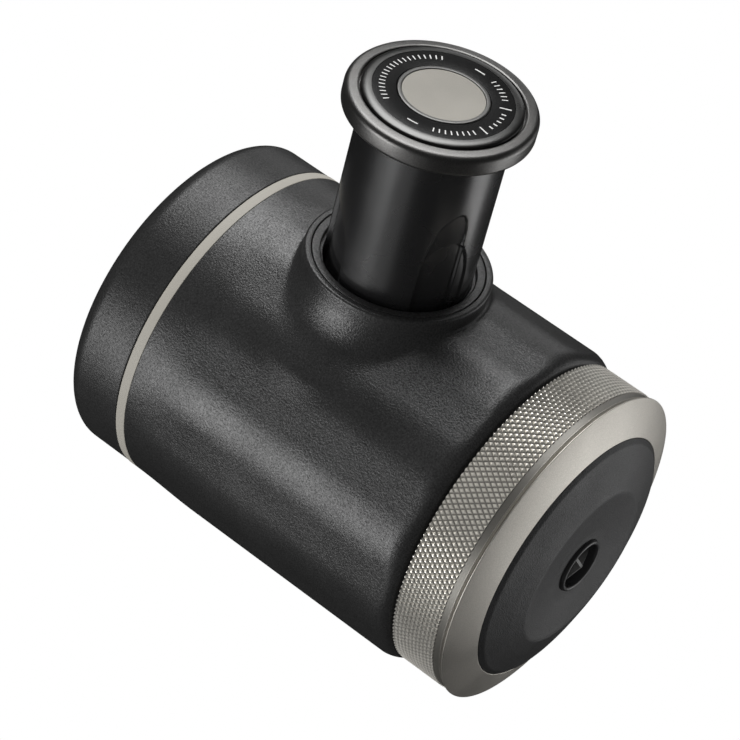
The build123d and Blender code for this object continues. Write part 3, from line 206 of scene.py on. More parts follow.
def turned_place(radius: float, along: float, degrees: float,
                 axis: TurnAxis) -> tuple[float, float, float]:
    """Place a point that is turned about one of the two axes.

    Args:
        radius: Distance from the axis.
        along: Place along the axis.
        degrees: Angle; about the piston's axis it turns from +Y towards +Z.
        axis: The axis.

    Returns:
        The point in metres.
    """
    angle = math.radians(degrees)
    across, rise = radius * math.cos(angle), radius * math.sin(angle)
    if axis is TurnAxis.UPRIGHT:
        return across * MM, rise * MM, along * MM
    return along * MM, across * MM, (PISTON_Z + rise) * MM


def linked(name: str, data: bpy.types.ID) -> bpy.types.Object:
    """Put an object that holds this data in the scene."""
    made = bpy.data.objects.new(name, data)
    bpy.context.scene.collection.objects.link(made)
    return made


def solid_object(name: str, points: Sequence, faces: Sequence,
                 smooth: float = CRISP_ANGLE) -> bpy.types.Object:
    """Make a closed mesh object with outward faces.

    Args:
        name: Name of the object.
        points: Vertices in metres.
        faces: Vertex indices of each face.
        smooth: Edges sharper than this angle stay crisp; 0 keeps every edge crisp.

    Returns:
        The object, linked to the scene.
    """
    mesh = bpy.data.meshes.new(name)
    mesh.from_pydata([tuple(map(float, point)) for point in points], [], [tuple(face) for face in faces])
    shape = bmesh.new()
    shape.from_mesh(mesh)
    bmesh.ops.remove_doubles(shape, verts=shape.verts, dist=WELD_DISTANCE)
    bmesh.ops.dissolve_degenerate(shape, edges=shape.edges, dist=SLIVER_LENGTH)
    bmesh.ops.recalc_face_normals(shape, faces=shape.faces)
    shape.to_mesh(mesh)
    shape.free()
    mesh.polygons.foreach_set("use_smooth", [smooth > 0] * len(mesh.polygons))
    if smooth > 0:
        mesh.set_sharp_from_angle(angle=math.radians(smooth))
    return linked(name, mesh)


def grid_faces(rows: int, columns: int, wrap_rows: bool) -> list:
    """Faces of a grid of points whose columns run round.

    Args:
        rows: Number of rows.
        columns: Number of columns in each row.
        wrap_rows: Whether the last row joins the first.

    Returns:
        Quads as vertex indices.
    """
    faces = []
    for row in range(rows if wrap_rows else rows - 1):
        low, high = row * columns, (row + 1) % rows * columns
        for column in range(columns):
            right = (column + 1) % columns
            faces.append((low + column, low + right, high + right, high + column))
    return faces


def lathe(name: str, outline: Outline, axis: TurnAxis, segments: int = FINE_SEGMENTS,
          closed: bool = True) -> bpy.types.Object:
    """Turn an outline into a solid object.

    Args:
        name: Name of the object.
        outline: Points as (radius, place along the axis).
        axis: The axis to turn about.
        segments: Steps round the axis.
        closed: Whether the outline closes on itself; an open one starts and ends on the axis.

    Returns:
        The object.
    """
    points = [turned_place(radius, along, FULL_TURN * index / segments, axis)
              for radius, along in outline for index in range(segments)]
    return solid_object(name, points, grid_faces(len(outline), segments, closed))


def swept_block(name: str, section: Outline, angles: Sequence[float],
                smooth: float = CRISP_ANGLE) -> bpy.types.Object:
    """Sweep a section about the piston's axis and close both ends.

    Args:
        name: Name of the object.
        section: Points as (radius, place along the axis).
        angles: Where the section stands, in degrees.
        smooth: Edges sharper than this angle stay crisp; 0 keeps every edge crisp.

    Returns:
        The object.
    """
    points = [turned_place(radius, along, float(angle), TurnAxis.PISTON)
              for angle in angles for radius, along in section]
    sides = len(section)
    last = (len(angles) - 1) * sides
    faces = [tuple(range(sides))[::-1], tuple(range(last, last + sides))]
    for near in range(0, last, sides):
        for side in range(sides):
            right = (side + 1) % sides
            faces.append((near + side, near + right, near + sides + right, near + sides + side))
    return solid_object(name, points, faces, smooth)


def joined(name: str, pieces: Sequence[bpy.types.Object]) -> bpy.types.Object:
    """Join the meshes of some objects into one object with one material slot.

    Args:
        name: Name of the result.
        pieces: The objects, which are removed.

    Returns:
        The joined object.
    """
    shape = bmesh.new()
    for piece in pieces:
        shape.from_mesh(piece.data)
    mesh = bpy.data.meshes.new(name)
    shape.to_mesh(mesh)
    shape.free()
    for piece in pieces:
        bpy.data.objects.remove(piece)
    return linked(name, mesh)


def smooth_step(value: np.ndarray | float) -> np.ndarray | float:
    """Ease a value from 0 to 1 with flat ends."""
    share = np.clip(value, 0, 1)
    return share * share * (3 - 2 * share)


def smooth_max(first: np.ndarray, second: np.ndarray, blend: float) -> np.ndarray:
    """Take the larger values, rounded where the two are within a blend length of each other."""
    share = np.maximum(blend - np.abs(first - second), 0) / blend
    return np.maximum(first, second) + share * share * blend / 4


# ------------------------------------------------------------------ node trees
class TreeMaker:
    """Adds and links the nodes of one tree."""

    def __init__(self, tree: bpy.types.NodeTree) -> None:
        """Start with an empty tree."""
        self.tree = tree
        self.tree.nodes.clear()

    def node(self, kind: str, values: dict | None = None, **settings: object) -> bpy.types.Node:
        """Add a node.

        Args:
            kind: Blender's type name of the node.
            values: What its input sockets hold or are linked to.
            settings: Its other properties.

        Returns:
            The node.
        """
        made = self.tree.nodes.new(kind)
        for name, value in settings.items():
            setattr(made, name, value)
        for key, value in (values or {}).items():
            self.feed(made.inputs[key], value)
        return made

    def feed(self, socket: bpy.types.NodeSocket, value: object) -> None:
        """Link a socket to an output, or give it a value."""
        if isinstance(value, bpy.types.NodeSocket):
            self.tree.links.new(value, socket)
        else:
            socket.default_value = value

    def math(self, operation: str, *values: object) -> bpy.types.NodeSocket:
        """Add a Math node and return its output."""
        return self.node("ShaderNodeMath", dict(enumerate(values)), operation=operation).outputs[0]

    def spread(self, source: object, low: float, high: float, start: float = 0.0,
               end: float = 1.0) -> bpy.types.NodeSocket:
        """Map start..end of a value to low..high, clamped."""
        values = {"Value": source, "From Min": start, "From Max": end, "To Min": low, "To Max": high}
        return self.node("ShaderNodeMapRange", values).outputs["Result"]

    def vector_math(self, operation: str, *values: object) -> bpy.types.NodeSocket:
        """Add a Vector Math node and return its vector."""
        return self.node("ShaderNodeVectorMath", dict(enumerate(values)), operation=operation).outputs[0]

    def scaled(self, vector: object, factor: object) -> bpy.types.NodeSocket:
        """Multiply a vector or colour by a number."""
        values = {0: vector, "Scale": factor}
        return self.node("ShaderNodeVectorMath", values, operation="SCALE").outputs[0]

    def combined(self, **parts: object) -> bpy.types.NodeSocket:
        """Make a vector of the parts X, Y and Z; one left out is 0."""
        return self.node("ShaderNodeCombineXYZ", parts).outputs[0]

    def parts(self, vector: bpy.types.NodeSocket) -> bpy.types.NodeOutputs:
        """Take a vector apart into X, Y and Z."""
        return self.node("ShaderNodeSeparateXYZ", {0: vector}).outputs

    def reach(self, place: bpy.types.NodeSocket, across: tuple[int, int, int]) -> bpy.types.NodeSocket:
        """Distance of a place from an axis; across is 1 for the directions at right angles to it."""
        flat = self.vector_math("MULTIPLY", place, across)
        return self.node("ShaderNodeVectorMath", {0: flat}, operation="LENGTH").outputs["Value"]


def new_material(name: str) -> tuple[bpy.types.Material, TreeMaker]:
    """Make a material and the maker of its empty tree."""
    material = bpy.data.materials.new(name)
    material.use_nodes = True
    return material, TreeMaker(material.node_tree)


def grey(shade: float) -> tuple[float, float, float, float]:
    """Neutral colour of a socket."""
    return shade, shade, shade, 1.0


# The middle of a noise's values, which is stretched over the whole shift of tone or of roughness.
TONE_RANGE = (0.25, 0.75)
CLOUD_RANGE = (0.3, 0.7)
NOISE_ROUGHNESS = 0.55

@dataclass(frozen=True)
class Finish:
    """One procedural surface finish; sizes are millimetres.

    Clouds are the broad shifts of tone, grain is the fine texture that is felt and seen close up,
    sparkle is how much the grain shifts the shine, the feet of a knurl between two radii get painted
    shade, darker towards the root, and rings are the marks of turning about one of the two axes.
    """

    name: str
    colour: Colour
    roughness: float
    metallic: float = 0.0
    specular: float = 0.5
    cloud_size: float = 14.0
    cloud_shade: float = 0.08
    roughness_spread: float = 0.05
    grain_size: float = 0.3
    grain_depth: float = 0.02
    grain_shade: float = 0.1
    sparkle: float = 0.0
    # Painted shade in the feet of a knurl: darkest at the first radius, none from the second out.
    pit_radius: float = 0.0
    crest_radius: float = 0.0
    pit_painted_shade: float = 1.0
    ring_axis: TurnAxis | None = None
    ring_pitch: float = 0.25
    ring_depth: float = 0.002
    coat: float = 0.0
    coat_roughness: float = 0.1
    transmission: float = 0.0

    def material(self) -> bpy.types.Material:
        """Give the finish's material, made at its first use."""
        known = bpy.data.materials.get(self.name)
        return known if known else self.make_material()

    def make_material(self) -> bpy.types.Material:
        """Build the node tree of the finish."""
        material, maker = new_material(self.name)
        place = maker.node("ShaderNodeTexCoord").outputs["Object"]
        clouds = self.noise(maker, place, self.cloud_size, 3.0)
        grain = self.noise(maker, place, self.grain_size, 2.0)
        tone = maker.math("MULTIPLY", self.tone(maker, clouds, self.cloud_shade),
                          self.tone(maker, grain, self.grain_shade))
        # Painted shade: darken the knurl's feet, where shade falls between the pyramids.
        if self.pit_painted_shade < 1:
            tone = maker.math("MULTIPLY", tone, self.painted_foot_shade(maker, place))
        roughness = maker.spread(clouds, self.roughness - self.roughness_spread,
                                 self.roughness + self.roughness_spread, *CLOUD_RANGE)
        shader = maker.node("ShaderNodeBsdfPrincipled", {
            "Base Color": maker.scaled(self.colour, tone),
            "Roughness": roughness,
            "Metallic": self.metallic,
            "Specular IOR Level": self.shine(maker, grain),
            "Coat Weight": self.coat,
            "Coat Roughness": self.coat_roughness,
            "Transmission Weight": self.transmission,
            "Normal": self.relief(maker, place, grain),
        })
        maker.node("ShaderNodeOutputMaterial", {"Surface": shader.outputs[0]})
        return material

    def noise(self, maker: TreeMaker, place: bpy.types.NodeSocket, size: float,
              detail: float) -> bpy.types.NodeSocket:
        """Add a noise whose lumps have a size in millimetres."""
        values = {"Vector": place, "Scale": 1 / (size * MM), "Detail": detail, "Roughness": NOISE_ROUGHNESS}
        return maker.node("ShaderNodeTexNoise", values).outputs["Fac"]

    def tone(self, maker: TreeMaker, noise: bpy.types.NodeSocket, shade: float) -> bpy.types.NodeSocket:
        """Turn a noise into a brightness factor around 1."""
        return maker.spread(noise, 1 - shade, 1 + shade, *TONE_RANGE)

    def shine(self, maker: TreeMaker, grain: bpy.types.NodeSocket) -> bpy.types.NodeSocket | float:
        """Give the specular level, broken up by the grain where the finish sparkles."""
        if self.sparkle == 0:
            return self.specular
        return maker.math("MULTIPLY", self.tone(maker, grain, self.sparkle), self.specular)

    def painted_foot_shade(self, maker: TreeMaker, place: bpy.types.NodeSocket) -> bpy.types.NodeSocket:
        """Paint shade into the feet of a knurl about the upright axis, darkest at its root."""
        reach = maker.reach(place, (1, 1, 0))
        return maker.spread(reach, self.pit_painted_shade, 1.0, self.pit_radius * MM, self.crest_radius * MM)

    def relief(self, maker: TreeMaker, place: bpy.types.NodeSocket,
               grain: bpy.types.NodeSocket) -> bpy.types.NodeSocket:
        """Add the bump of the grain and of the turning rings."""
        bump = maker.node("ShaderNodeBump", {"Height": grain, "Distance": self.grain_depth * MM})
        if self.ring_axis is None:
            return bump.outputs[0]
        upright = self.ring_axis is TurnAxis.UPRIGHT
        moved = maker.vector_math("ADD", place, (0, 0, 0) if upright else (0, 0, -PISTON_Z * MM))
        reach = maker.reach(moved, (1, 1, 0) if upright else (0, 1, 1))
        along = maker.parts(place)["Z" if upright else "X"]
        run = maker.math("MULTIPLY", maker.math("ADD", reach, along), 1 / (self.ring_pitch * MM))
        lines = maker.node("ShaderNodeTexNoise", {"W": run, "Scale": 1.0, "Detail": 2.0},
                           noise_dimensions="1D").outputs["Fac"]
        rings = maker.node("ShaderNodeBump", {"Height": lines, "Distance": self.ring_depth * MM,
                                              "Normal": bump.outputs[0]})
        return rings.outputs[0]


class Finishes(Enum):
    """Every finish on the maker."""

    BODY = Finish("charcoal_spark_grain", (0.0178, 0.0178, 0.0178), 0.345, grain_size=0.36,
                  grain_depth=0.07, grain_shade=0.25, sparkle=0.6, cloud_shade=0.05)
    LID = Finish("charcoal_lid_grain", (0.0178, 0.0178, 0.0178), 0.38, specular=0.4, grain_size=0.36,
                 grain_depth=0.065, grain_shade=0.25, sparkle=0.6, cloud_shade=0.05)
    TRIM = Finish("champagne_trim", (0.315, 0.3, 0.266), 0.55, specular=0.3, grain_size=0.2,
                  grain_depth=0.01, grain_shade=0.05, cloud_shade=0.04, ring_axis=TurnAxis.UPRIGHT)
    # The knurled grip has painted shade in the feet of its pyramids.
    KNURL = Finish("knurled_steel", (0.86, 0.83, 0.765), 0.3, metallic=0.7, grain_size=0.15,
                   grain_depth=0.008, grain_shade=0.12, pit_radius=34.2, crest_radius=34.52,
                   pit_painted_shade=0.38)
    # Painted shade: the plain band is the same metal as the knurled grip, painted much darker.
    BAND = Finish("band_metal_painted_shade", (0.125, 0.12, 0.108), 0.4, metallic=0.6, grain_size=0.15,
                  grain_depth=0.008, ring_axis=TurnAxis.UPRIGHT, ring_pitch=0.12)
    BLASTED = Finish("bead_blasted_metal", (0.455, 0.435, 0.397), 0.46, metallic=0.9, grain_size=0.2,
                     grain_depth=0.03, grain_shade=0.16)
    DISC = Finish("black_disc_grain", (0.0155, 0.0155, 0.016), 0.5, specular=0.42, grain_size=0.28,
                  grain_depth=0.07, grain_shade=0.2, sparkle=0.4)
    SPOUT = Finish("black_spout", (0.016, 0.016, 0.0165), 0.36, grain_size=0.25, grain_depth=0.01)
    FIN = Finish("grey_spout_fins", (0.1, 0.1, 0.098), 0.45, grain_size=0.25, grain_depth=0.01)
    SLEEVE = Finish("gloss_black_sleeve", (0.009, 0.009, 0.0093), 0.26, specular=0.8, cloud_shade=0.05,
                    roughness_spread=0.03, grain_size=0.8, grain_depth=0.0015, grain_shade=0.03)
    HEAD_RIM = Finish("satin_dark_metal", (0.13, 0.128, 0.125), 0.34, metallic=0.95, grain_size=0.18,
                      grain_depth=0.025, grain_shade=0.3)
    INSERT = Finish("black_insert_disc", (0.006, 0.006, 0.006), 0.24, specular=0.16, cloud_shade=0.04,
                    roughness_spread=0.02, grain_size=0.25, grain_depth=0.01, grain_shade=0.1)
    BEVEL = Finish("polished_insert_ring", (0.105, 0.105, 0.103), 0.3, metallic=1.0, grain_size=0.2,
                   grain_depth=0.004, grain_shade=0.08, ring_axis=TurnAxis.PISTON)
    BADGE_RIM = Finish("grey_badge_rim", (0.13, 0.129, 0.126), 0.34, metallic=1.0, grain_size=0.2,
                       grain_depth=0.004, grain_shade=0.06, ring_axis=TurnAxis.PISTON)
    BADGE = Finish("beige_satin_badge", (0.235, 0.224, 0.2), 0.42, metallic=0.45, grain_size=0.2,
                   grain_depth=0.008, grain_shade=0.08, ring_axis=TurnAxis.PISTON)
    MARKS = Finish("white_print", (0.55, 0.55, 0.54), 0.5, grain_size=0.1, grain_depth=0.001)
    STEEL = Finish("turned_steel", (0.5, 0.5, 0.49), 0.28, metallic=1.0, grain_size=0.2,
                   grain_depth=0.003, grain_shade=0.06, ring_axis=TurnAxis.UPRIGHT)
    ROD = Finish("ground_rod", (0.5, 0.5, 0.5), 0.2, metallic=1.0, grain_size=0.2, grain_depth=0.002,
                 grain_shade=0.05, ring_axis=TurnAxis.PISTON)
    SPRING = Finish("spring_wire", (0.34, 0.34, 0.34), 0.3, metallic=1.0, grain_size=0.3,
                    grain_depth=0.003)
    INNER = Finish("inner_black_plastic", (0.02, 0.02, 0.021), 0.45, grain_size=0.4, grain_depth=0.02)
    TANK = Finish("smoke_tank_plastic", (0.045, 0.045, 0.047), 0.3, grain_size=1.2, grain_depth=0.006,
                  coat=0.2)
    GUIDE = Finish("white_guide_plastic", (0.45, 0.44, 0.42), 0.4, grain_size=0.5, grain_depth=0.01)
    BRASS = Finish("turned_brass", (0.58, 0.42, 0.2), 0.28, metallic=1.0, grain_size=0.2,
                   grain_depth=0.003, ring_axis=TurnAxis.UPRIGHT)
    RUBBER = Finish("black_rubber", (0.018, 0.018, 0.018), 0.62, grain_size=0.5, grain_depth=0.02)
    SILICONE = Finish("grey_silicone", (0.2, 0.2, 0.2), 0.5, grain_size=0.6, grain_depth=0.015)


def dress(piece: bpy.types.Object, finish: Finishes) -> bpy.types.Object:
    """Give a piece one finish all over."""
    piece.data.materials.clear()
    piece.data.materials.append(finish.value.material())
    return piece


def fix(piece: bpy.types.Object, body: str, slot: str, *nodes: str) -> bpy.types.Object:
    """Tie a finished piece to the frame.

    Args:
        piece: The piece, in place.
        body: The CAD body that it rides on.
        slot: The record's material slot; not used.
        nodes: The CAD nodes that it stands for.

    Returns:
        The piece.
    """
    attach(piece, body)
    if nodes:
        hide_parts(*nodes)
    log.info("%s: %d faces on %s", piece.name, len(piece.data.polygons), body)
    return piece


class Recipe:
    """A Geometry Nodes tree with named inputs that is run once and gives a plain mesh."""

    def __init__(self, name: str) -> None:
        """Start an empty tree with a geometry output."""
        self.tree = bpy.data.node_groups.new(name, "GeometryNodeTree")
        self.maker = TreeMaker(self.tree)
        self.values: dict[str, object] = {}
        self.entry = self.maker.node("NodeGroupInput")

    def number(self, name: str, value: float) -> bpy.types.NodeSocket:
        """Add a named input for a size and return its socket.

        Args:
            name: Name of the input.
            value: What it holds; a whole number makes a whole-number input.

        Returns:
            The input's socket inside the tree.
        """
        kind = "NodeSocketInt" if isinstance(value, int) else "NodeSocketFloat"
        item = self.tree.interface.new_socket(name, in_out="INPUT", socket_type=kind)
        self.values[item.identifier] = value
        return self.entry.outputs[name]

    def run(self, name: str, geometry: bpy.types.NodeSocket, finish: Finishes) -> bpy.types.Object:
        """Realize the geometry, give it its finish and return it as a plain mesh object.

        Args:
            name: Name of the object.
            geometry: The tree's last geometry socket.
            finish: Its finish.

        Returns:
            The object.
        """
        real = self.maker.node("GeometryNodeRealizeInstances", {0: geometry})
        last = self.maker.node("GeometryNodeSetMaterial",
                               {"Geometry": real.outputs[0], "Material": finish.value.material()})
        self.tree.interface.new_socket("Geometry", in_out="OUTPUT", socket_type="NodeSocketGeometry")
        self.maker.node("NodeGroupOutput", {0: last.outputs[0]})
        carrier = linked(name + "_carrier", bpy.data.meshes.new(name + "_carrier"))
        modifier = carrier.modifiers.new("recipe", "NODES")
        modifier.node_group = self.tree
        for identifier, value in self.values.items():
            modifier[identifier] = value
        ready = carrier.evaluated_get(bpy.context.evaluated_depsgraph_get())
        mesh = bpy.data.meshes.new_from_object(ready)
        bpy.data.objects.remove(carrier)
        mesh.name = name
        return linked(name, mesh)


# ------------------------------------------------------------------ body shell
@dataclass
class BodyShell:
    """Faceted charcoal body with the flared boss for the piston."""

    flat_radius: float = 35.5
    facets: int = 12
    edge_radius: float = 22.0
    edge_centre: float = 13.976
    lip_radius: float = 35.2
    lip_round: float = 2.2
    foot_taper: float = 3.8
    top_taper: float = 15.0
    bore_radius: float = 33.0
    flange_radius: float = 33.9
    flange_depth: float = 1.25
    boss_radius: float = 18.75
    boss_bore: float = 17.25
    flare_start: float = 3.2
    flare_length: float = 11.5
    flare_spread: float = 7.55
    flare_radius: float = 17.7
    flare_fall: float = 1.5
    flare_blend: float = 1.8
    window_angle: int = 62
    window_reach: float = 31.0
    columns: int = 360
    window_rows: int = 76
    patch_rings: int = 26
    patch_power: float = 1.35
    bore_rings: int = 6
    edge_samples: int = 500
    lip_step: int = 15
    foot_rows: int = 11
    top_rows: tuple[float, float, float] = (1.6, 0.8, 0.15)
    window_drop: float = 2.4
    search_radius: float = 60.0
    search_steps: int = 30
    facing_angle: float = 88.0
    boss_round: float = 0.6
    bore_round: float = 0.25
    top_inset: float = 0.15
    crisp_angle: float = 38.0

    def __post_init__(self) -> None:
        """Read the levels and work out the facets' and the flare's arcs."""
        self.low, self.high = span("main_body")
        self.boss_x = level("main_body", Side.HIGH, X)
        self.flare_x = self.boss_x - self.flare_start
        self.edge_half = self.find_edge_half()
        start = np.array((self.flare_x, self.boss_radius))
        end = start + (-self.flare_length, self.flare_spread)
        chord = end - start
        half = np.linalg.norm(chord) / 2
        side = np.array((-chord[1], chord[0])) / (2 * half)
        offset = math.sqrt(self.flare_radius ** 2 - half ** 2)
        centres = [(start + end) / 2 + sign * side * offset for sign in (-1, 1)]
        self.flare_centre = max(centres, key=lambda centre: centre[0] + centre[1])
        self.flare_end = end
        arm = end - self.flare_centre
        self.flare_slope = -abs(arm[1] / arm[0])

    def find_edge_half(self) -> float:
        """Half angle, in degrees, over which the arc of a facet's edge runs."""
        half_step = FULL_TURN / self.facets / 2
        angles = np.linspace(0, half_step, self.edge_samples)
        flat = self.flat_radius / np.cos(np.radians(half_step - angles))
        return float(angles[np.argmin(np.abs(flat - self.edge_arc(angles)))])

    def column_degrees(self, column: np.ndarray) -> np.ndarray:
        """Angles about the upright axis of columns of the grid."""
        return column * FULL_TURN / self.columns - HALF_TURN

    def edge_arc(self, off_edge: np.ndarray) -> np.ndarray:
        """Radius on the arc that rounds an edge between two facets.

        Args:
            off_edge: Angles from the edge, in degrees.

        Returns:
            The radii.
        """
        turn = np.radians(off_edge)
        rise = self.edge_radius ** 2 - (self.edge_centre * np.sin(turn)) ** 2
        return self.edge_centre * np.cos(turn) + np.sqrt(np.maximum(rise, 0))

    def facet_radius(self, degrees: np.ndarray) -> np.ndarray:
        """Outside radius of the faceted section at angles about the upright axis."""
        step = FULL_TURN / self.facets
        off_flat = (degrees + step / 2) % step - step / 2
        off_edge = step / 2 - np.abs(off_flat)
        flat = self.flat_radius / np.cos(np.radians(off_flat))
        return np.where(off_edge < self.edge_half, self.edge_arc(off_edge), flat)

    def plain_radius(self, degrees: np.ndarray, height: np.ndarray) -> np.ndarray:
        """Outside radius of the shell without its boss."""
        lip_top = self.low + self.lip_round
        drop = self.lip_round ** 2 - np.maximum(lip_top - height, 0) ** 2
        lip = self.lip_radius - self.lip_round + np.sqrt(np.maximum(drop, 0))
        foot = smooth_step((height - self.low) / self.foot_taper)
        top = smooth_step((self.high - height) / self.top_taper)
        section = self.flat_radius + (self.facet_radius(degrees) - self.flat_radius) * top
        return lip + (section - self.lip_radius) * foot

    def flare_x_at(self, reach: np.ndarray) -> np.ndarray:
        """Height of the flare along X at distances from the piston's axis."""
        rise = self.flare_radius ** 2 - (reach - self.flare_centre[1]) ** 2
        arc = self.flare_centre[0] - np.sqrt(np.maximum(rise, 0))
        past = reach - self.flare_end[1]
        tail = self.flare_end[0] + self.flare_slope * past - self.flare_fall * past * past
        return np.where(past <= 0, arc, tail)

    def outer_radius(self, degrees: np.ndarray, height: np.ndarray) -> np.ndarray:
        """Outside radius of the shell with the flare blended in."""
        plain = self.plain_radius(degrees, height)
        angle = np.radians(degrees)
        rise = height - PISTON_Z
        near, far = np.zeros_like(plain), np.full_like(plain, self.search_radius)
        for _ in range(self.search_steps):
            middle = (near + far) / 2
            reach = np.maximum(np.hypot(middle * np.sin(angle), rise), self.boss_radius)
            inside = middle * np.cos(angle) < self.flare_x_at(reach)
            near, far = np.where(inside, middle, near), np.where(inside, far, middle)
        facing = np.abs(degrees) < self.facing_angle
        return np.where(facing, smooth_max(plain, (near + far) / 2, self.flare_blend), plain)

    def boss_foot(self, turn: np.ndarray) -> tuple[np.ndarray, np.ndarray]:
        """Where the boss wall meets the flare.

        Args:
            turn: Angles about the piston's axis, in radians.

        Returns:
            Angles about the upright axis in degrees, and heights.
        """
        across, height = self.boss_radius * np.cos(turn), PISTON_Z + self.boss_radius * np.sin(turn)
        return np.degrees(np.arctan2(across, self.flare_x)), height

    def bore_foot(self, turn: np.ndarray) -> tuple[np.ndarray, np.ndarray]:
        """Where the boss's bore meets the body's bore, as in boss_foot."""
        across, height = self.boss_bore * np.cos(turn), PISTON_Z + self.boss_bore * np.sin(turn)
        return np.degrees(np.arcsin(across / self.bore_radius)), height

    def rows(self) -> tuple[np.ndarray, int, int]:
        """Row heights, and the first and last row of the window round the boss."""
        turns = range(0, 91, self.lip_step)
        arc = [self.low + self.lip_round * (1 - math.cos(math.radians(turn))) for turn in turns]
        window_low, window_high = PISTON_Z - self.window_reach, self.high - self.window_drop
        below = arc + list(np.linspace(arc[-1], window_low, self.foot_rows))[1:-1]
        beside = list(np.linspace(window_low, window_high, self.window_rows + 1))
        above = [self.high - drop for drop in self.top_rows]
        return np.array(below + beside + above), len(below), len(below) + len(beside) - 1

    def skin(self, points: list, faces: list, outside: bool) -> tuple[np.ndarray, list[tuple[int, int]]]:
        """Add one skin of the shell, with its window left open.

        Args:
            points: Vertices so far.
            faces: Faces so far.
            outside: Whether it is the outer skin.

        Returns:
            Vertex indices by row and column, and the window's edge as (row, column).
        """
        heights, first, last = self.rows()
        degrees, height = np.meshgrid(self.column_degrees(np.arange(self.columns)), heights)
        radius = self.outer_radius(degrees, height) if outside else np.full_like(degrees, self.bore_radius)
        grid = self.add(points, radius, degrees, height)
        left, right = self.columns // 2 - self.window_angle, self.columns // 2 + self.window_angle
        for row in range(len(heights) - 1):
            for column in range(self.columns):
                if not (first <= row < last and left <= column < right):
                    right_column = (column + 1) % self.columns
                    faces.append((grid[row, column], grid[row, right_column],
                                  grid[row + 1, right_column], grid[row + 1, column]))
        edge = [(row, right) for row in range(first, last)]
        edge += [(last, column) for column in range(right, left, -1)]
        edge += [(row, left) for row in range(last, first, -1)]
        edge += [(first, column) for column in range(left, right)]
        return grid, edge

    def add(self, points: list, radius: np.ndarray, degrees: np.ndarray, height: np.ndarray) -> np.ndarray:
        """Add points about the upright axis and return their indices in the same array shape."""
        start = len(points)
        angle = np.radians(degrees)
        places = np.stack((radius * np.cos(angle), radius * np.sin(angle), height), axis=-1) * MM
        points.extend(map(tuple, places.reshape(-1, 3)))
        return np.arange(start, len(points)).reshape(np.shape(degrees))

    def patch(self, points: list, edge: tuple[np.ndarray, np.ndarray, np.ndarray], outside: bool) -> list:
        """Add the rings of points between the window's edge and the boss.

        Args:
            points: Vertices so far.
            edge: Angles, heights and turns about the piston's axis of the window's edge.
            outside: Whether it is the outer skin.

        Returns:
            Loops of vertex indices, the outermost first.
        """
        degrees, height, turns = edge
        foot_degrees, foot_height = self.boss_foot(turns) if outside else self.bore_foot(turns)
        rings = self.patch_rings if outside else self.bore_rings
        loops = []
        for ring in range(rings - 1, -1, -1):
            share = (ring / rings) ** (self.patch_power if outside else 1.0)
            at_degrees = foot_degrees + (degrees - foot_degrees) * share
            at_height = foot_height + (height - foot_height) * share
            radius = np.full_like(at_degrees, self.bore_radius)
            if outside:
                radius = self.outer_radius(at_degrees, at_height)
            if outside and ring == 0:
                radius = self.flare_x / np.cos(np.radians(at_degrees))
            loops.append(list(self.add(points, radius, at_degrees, at_height)))
        return loops

    def build(self) -> bpy.types.Object:
        """Mesh the shell as two ring grids with a polar patch round the boss."""
        points: list = []
        faces: list = []
        outer_grid, edge = self.skin(points, faces, True)
        inner_grid, _ = self.skin(points, faces, False)
        heights, _, _ = self.rows()
        degrees = self.column_degrees(np.array([column for _, column in edge]))
        height = np.array([heights[row] for row, _ in edge])
        turns = np.arctan2(height - PISTON_Z, np.radians(degrees) * self.flat_radius)
        place = (degrees, height, turns)
        loops = [[outer_grid[spot] for spot in edge], *self.patch(points, place, True)]
        wall = rounded([Corner(self.boss_radius, self.flare_x),
                        Corner(self.boss_radius, self.boss_x, self.boss_round),
                        Corner(self.boss_bore, self.boss_x, self.bore_round),
                        Corner(self.boss_bore, self.flare_x)], closed=False)[1:-1]
        for radius, along in wall:
            start = len(points)
            points += [turned_place(radius, along, math.degrees(turn), TurnAxis.PISTON) for turn in turns]
            loops.append(list(range(start, len(points))))
        loops += [*self.patch(points, place, False)[::-1], [inner_grid[spot] for spot in edge]]
        self.bridge(faces, loops)
        self.close_ends(points, faces, outer_grid, inner_grid)
        return dress(solid_object("body_shell", points, faces, self.crisp_angle), Finishes.BODY)

    def bridge(self, faces: list, loops: list) -> None:
        """Add the faces between loops of the same length."""
        for near, far in zip(loops, loops[1:]):
            for index in range(len(near)):
                right = (index + 1) % len(near)
                faces.append((near[index], near[right], far[right], far[index]))

    def close_ends(self, points: list, faces: list, outer_grid: np.ndarray, inner_grid: np.ndarray) -> None:
        """Join the outer and inner skins along the lip and the top.

        Args:
            points: Vertices, which grow by the top's rim.
            faces: Faces, which grow by both joins.
            outer_grid: Vertex indices of the outer skin.
            inner_grid: Vertex indices of the inner skin.
        """
        angles = self.column_degrees(np.arange(self.columns))
        floor = self.high - self.flange_depth
        rim = [(self.flat_radius - self.top_inset, self.high), (self.flange_radius, self.high),
               (self.flange_radius, floor), (self.bore_radius, floor)]
        loops = [list(outer_grid[-1])]
        for radius, height in rim:
            radii, heights = np.full_like(angles, radius), np.full_like(angles, height)
            loops.append(list(self.add(points, radii, angles, heights)))
        self.bridge(faces, [*loops, list(inner_grid[-1])])
        self.bridge(faces, [list(inner_grid[0]), list(outer_grid[0])])


@dataclass
class TrimRing:
    """Champagne ring between the body and the lid."""

    radius: float = 35.5
    inner_radius: float = 31.9
    edge: float = 0.12

    def build(self) -> bpy.types.Object:
        """Turn the ring."""
        low, high = span("trim_ring")
        outline = rounded([Corner(self.inner_radius, low), Corner(self.radius, low, self.edge),
                           Corner(self.radius, high, self.edge), Corner(self.inner_radius, high)])
        return dress(lathe("trim_ring_metal", outline, TurnAxis.UPRIGHT), Finishes.TRIM)


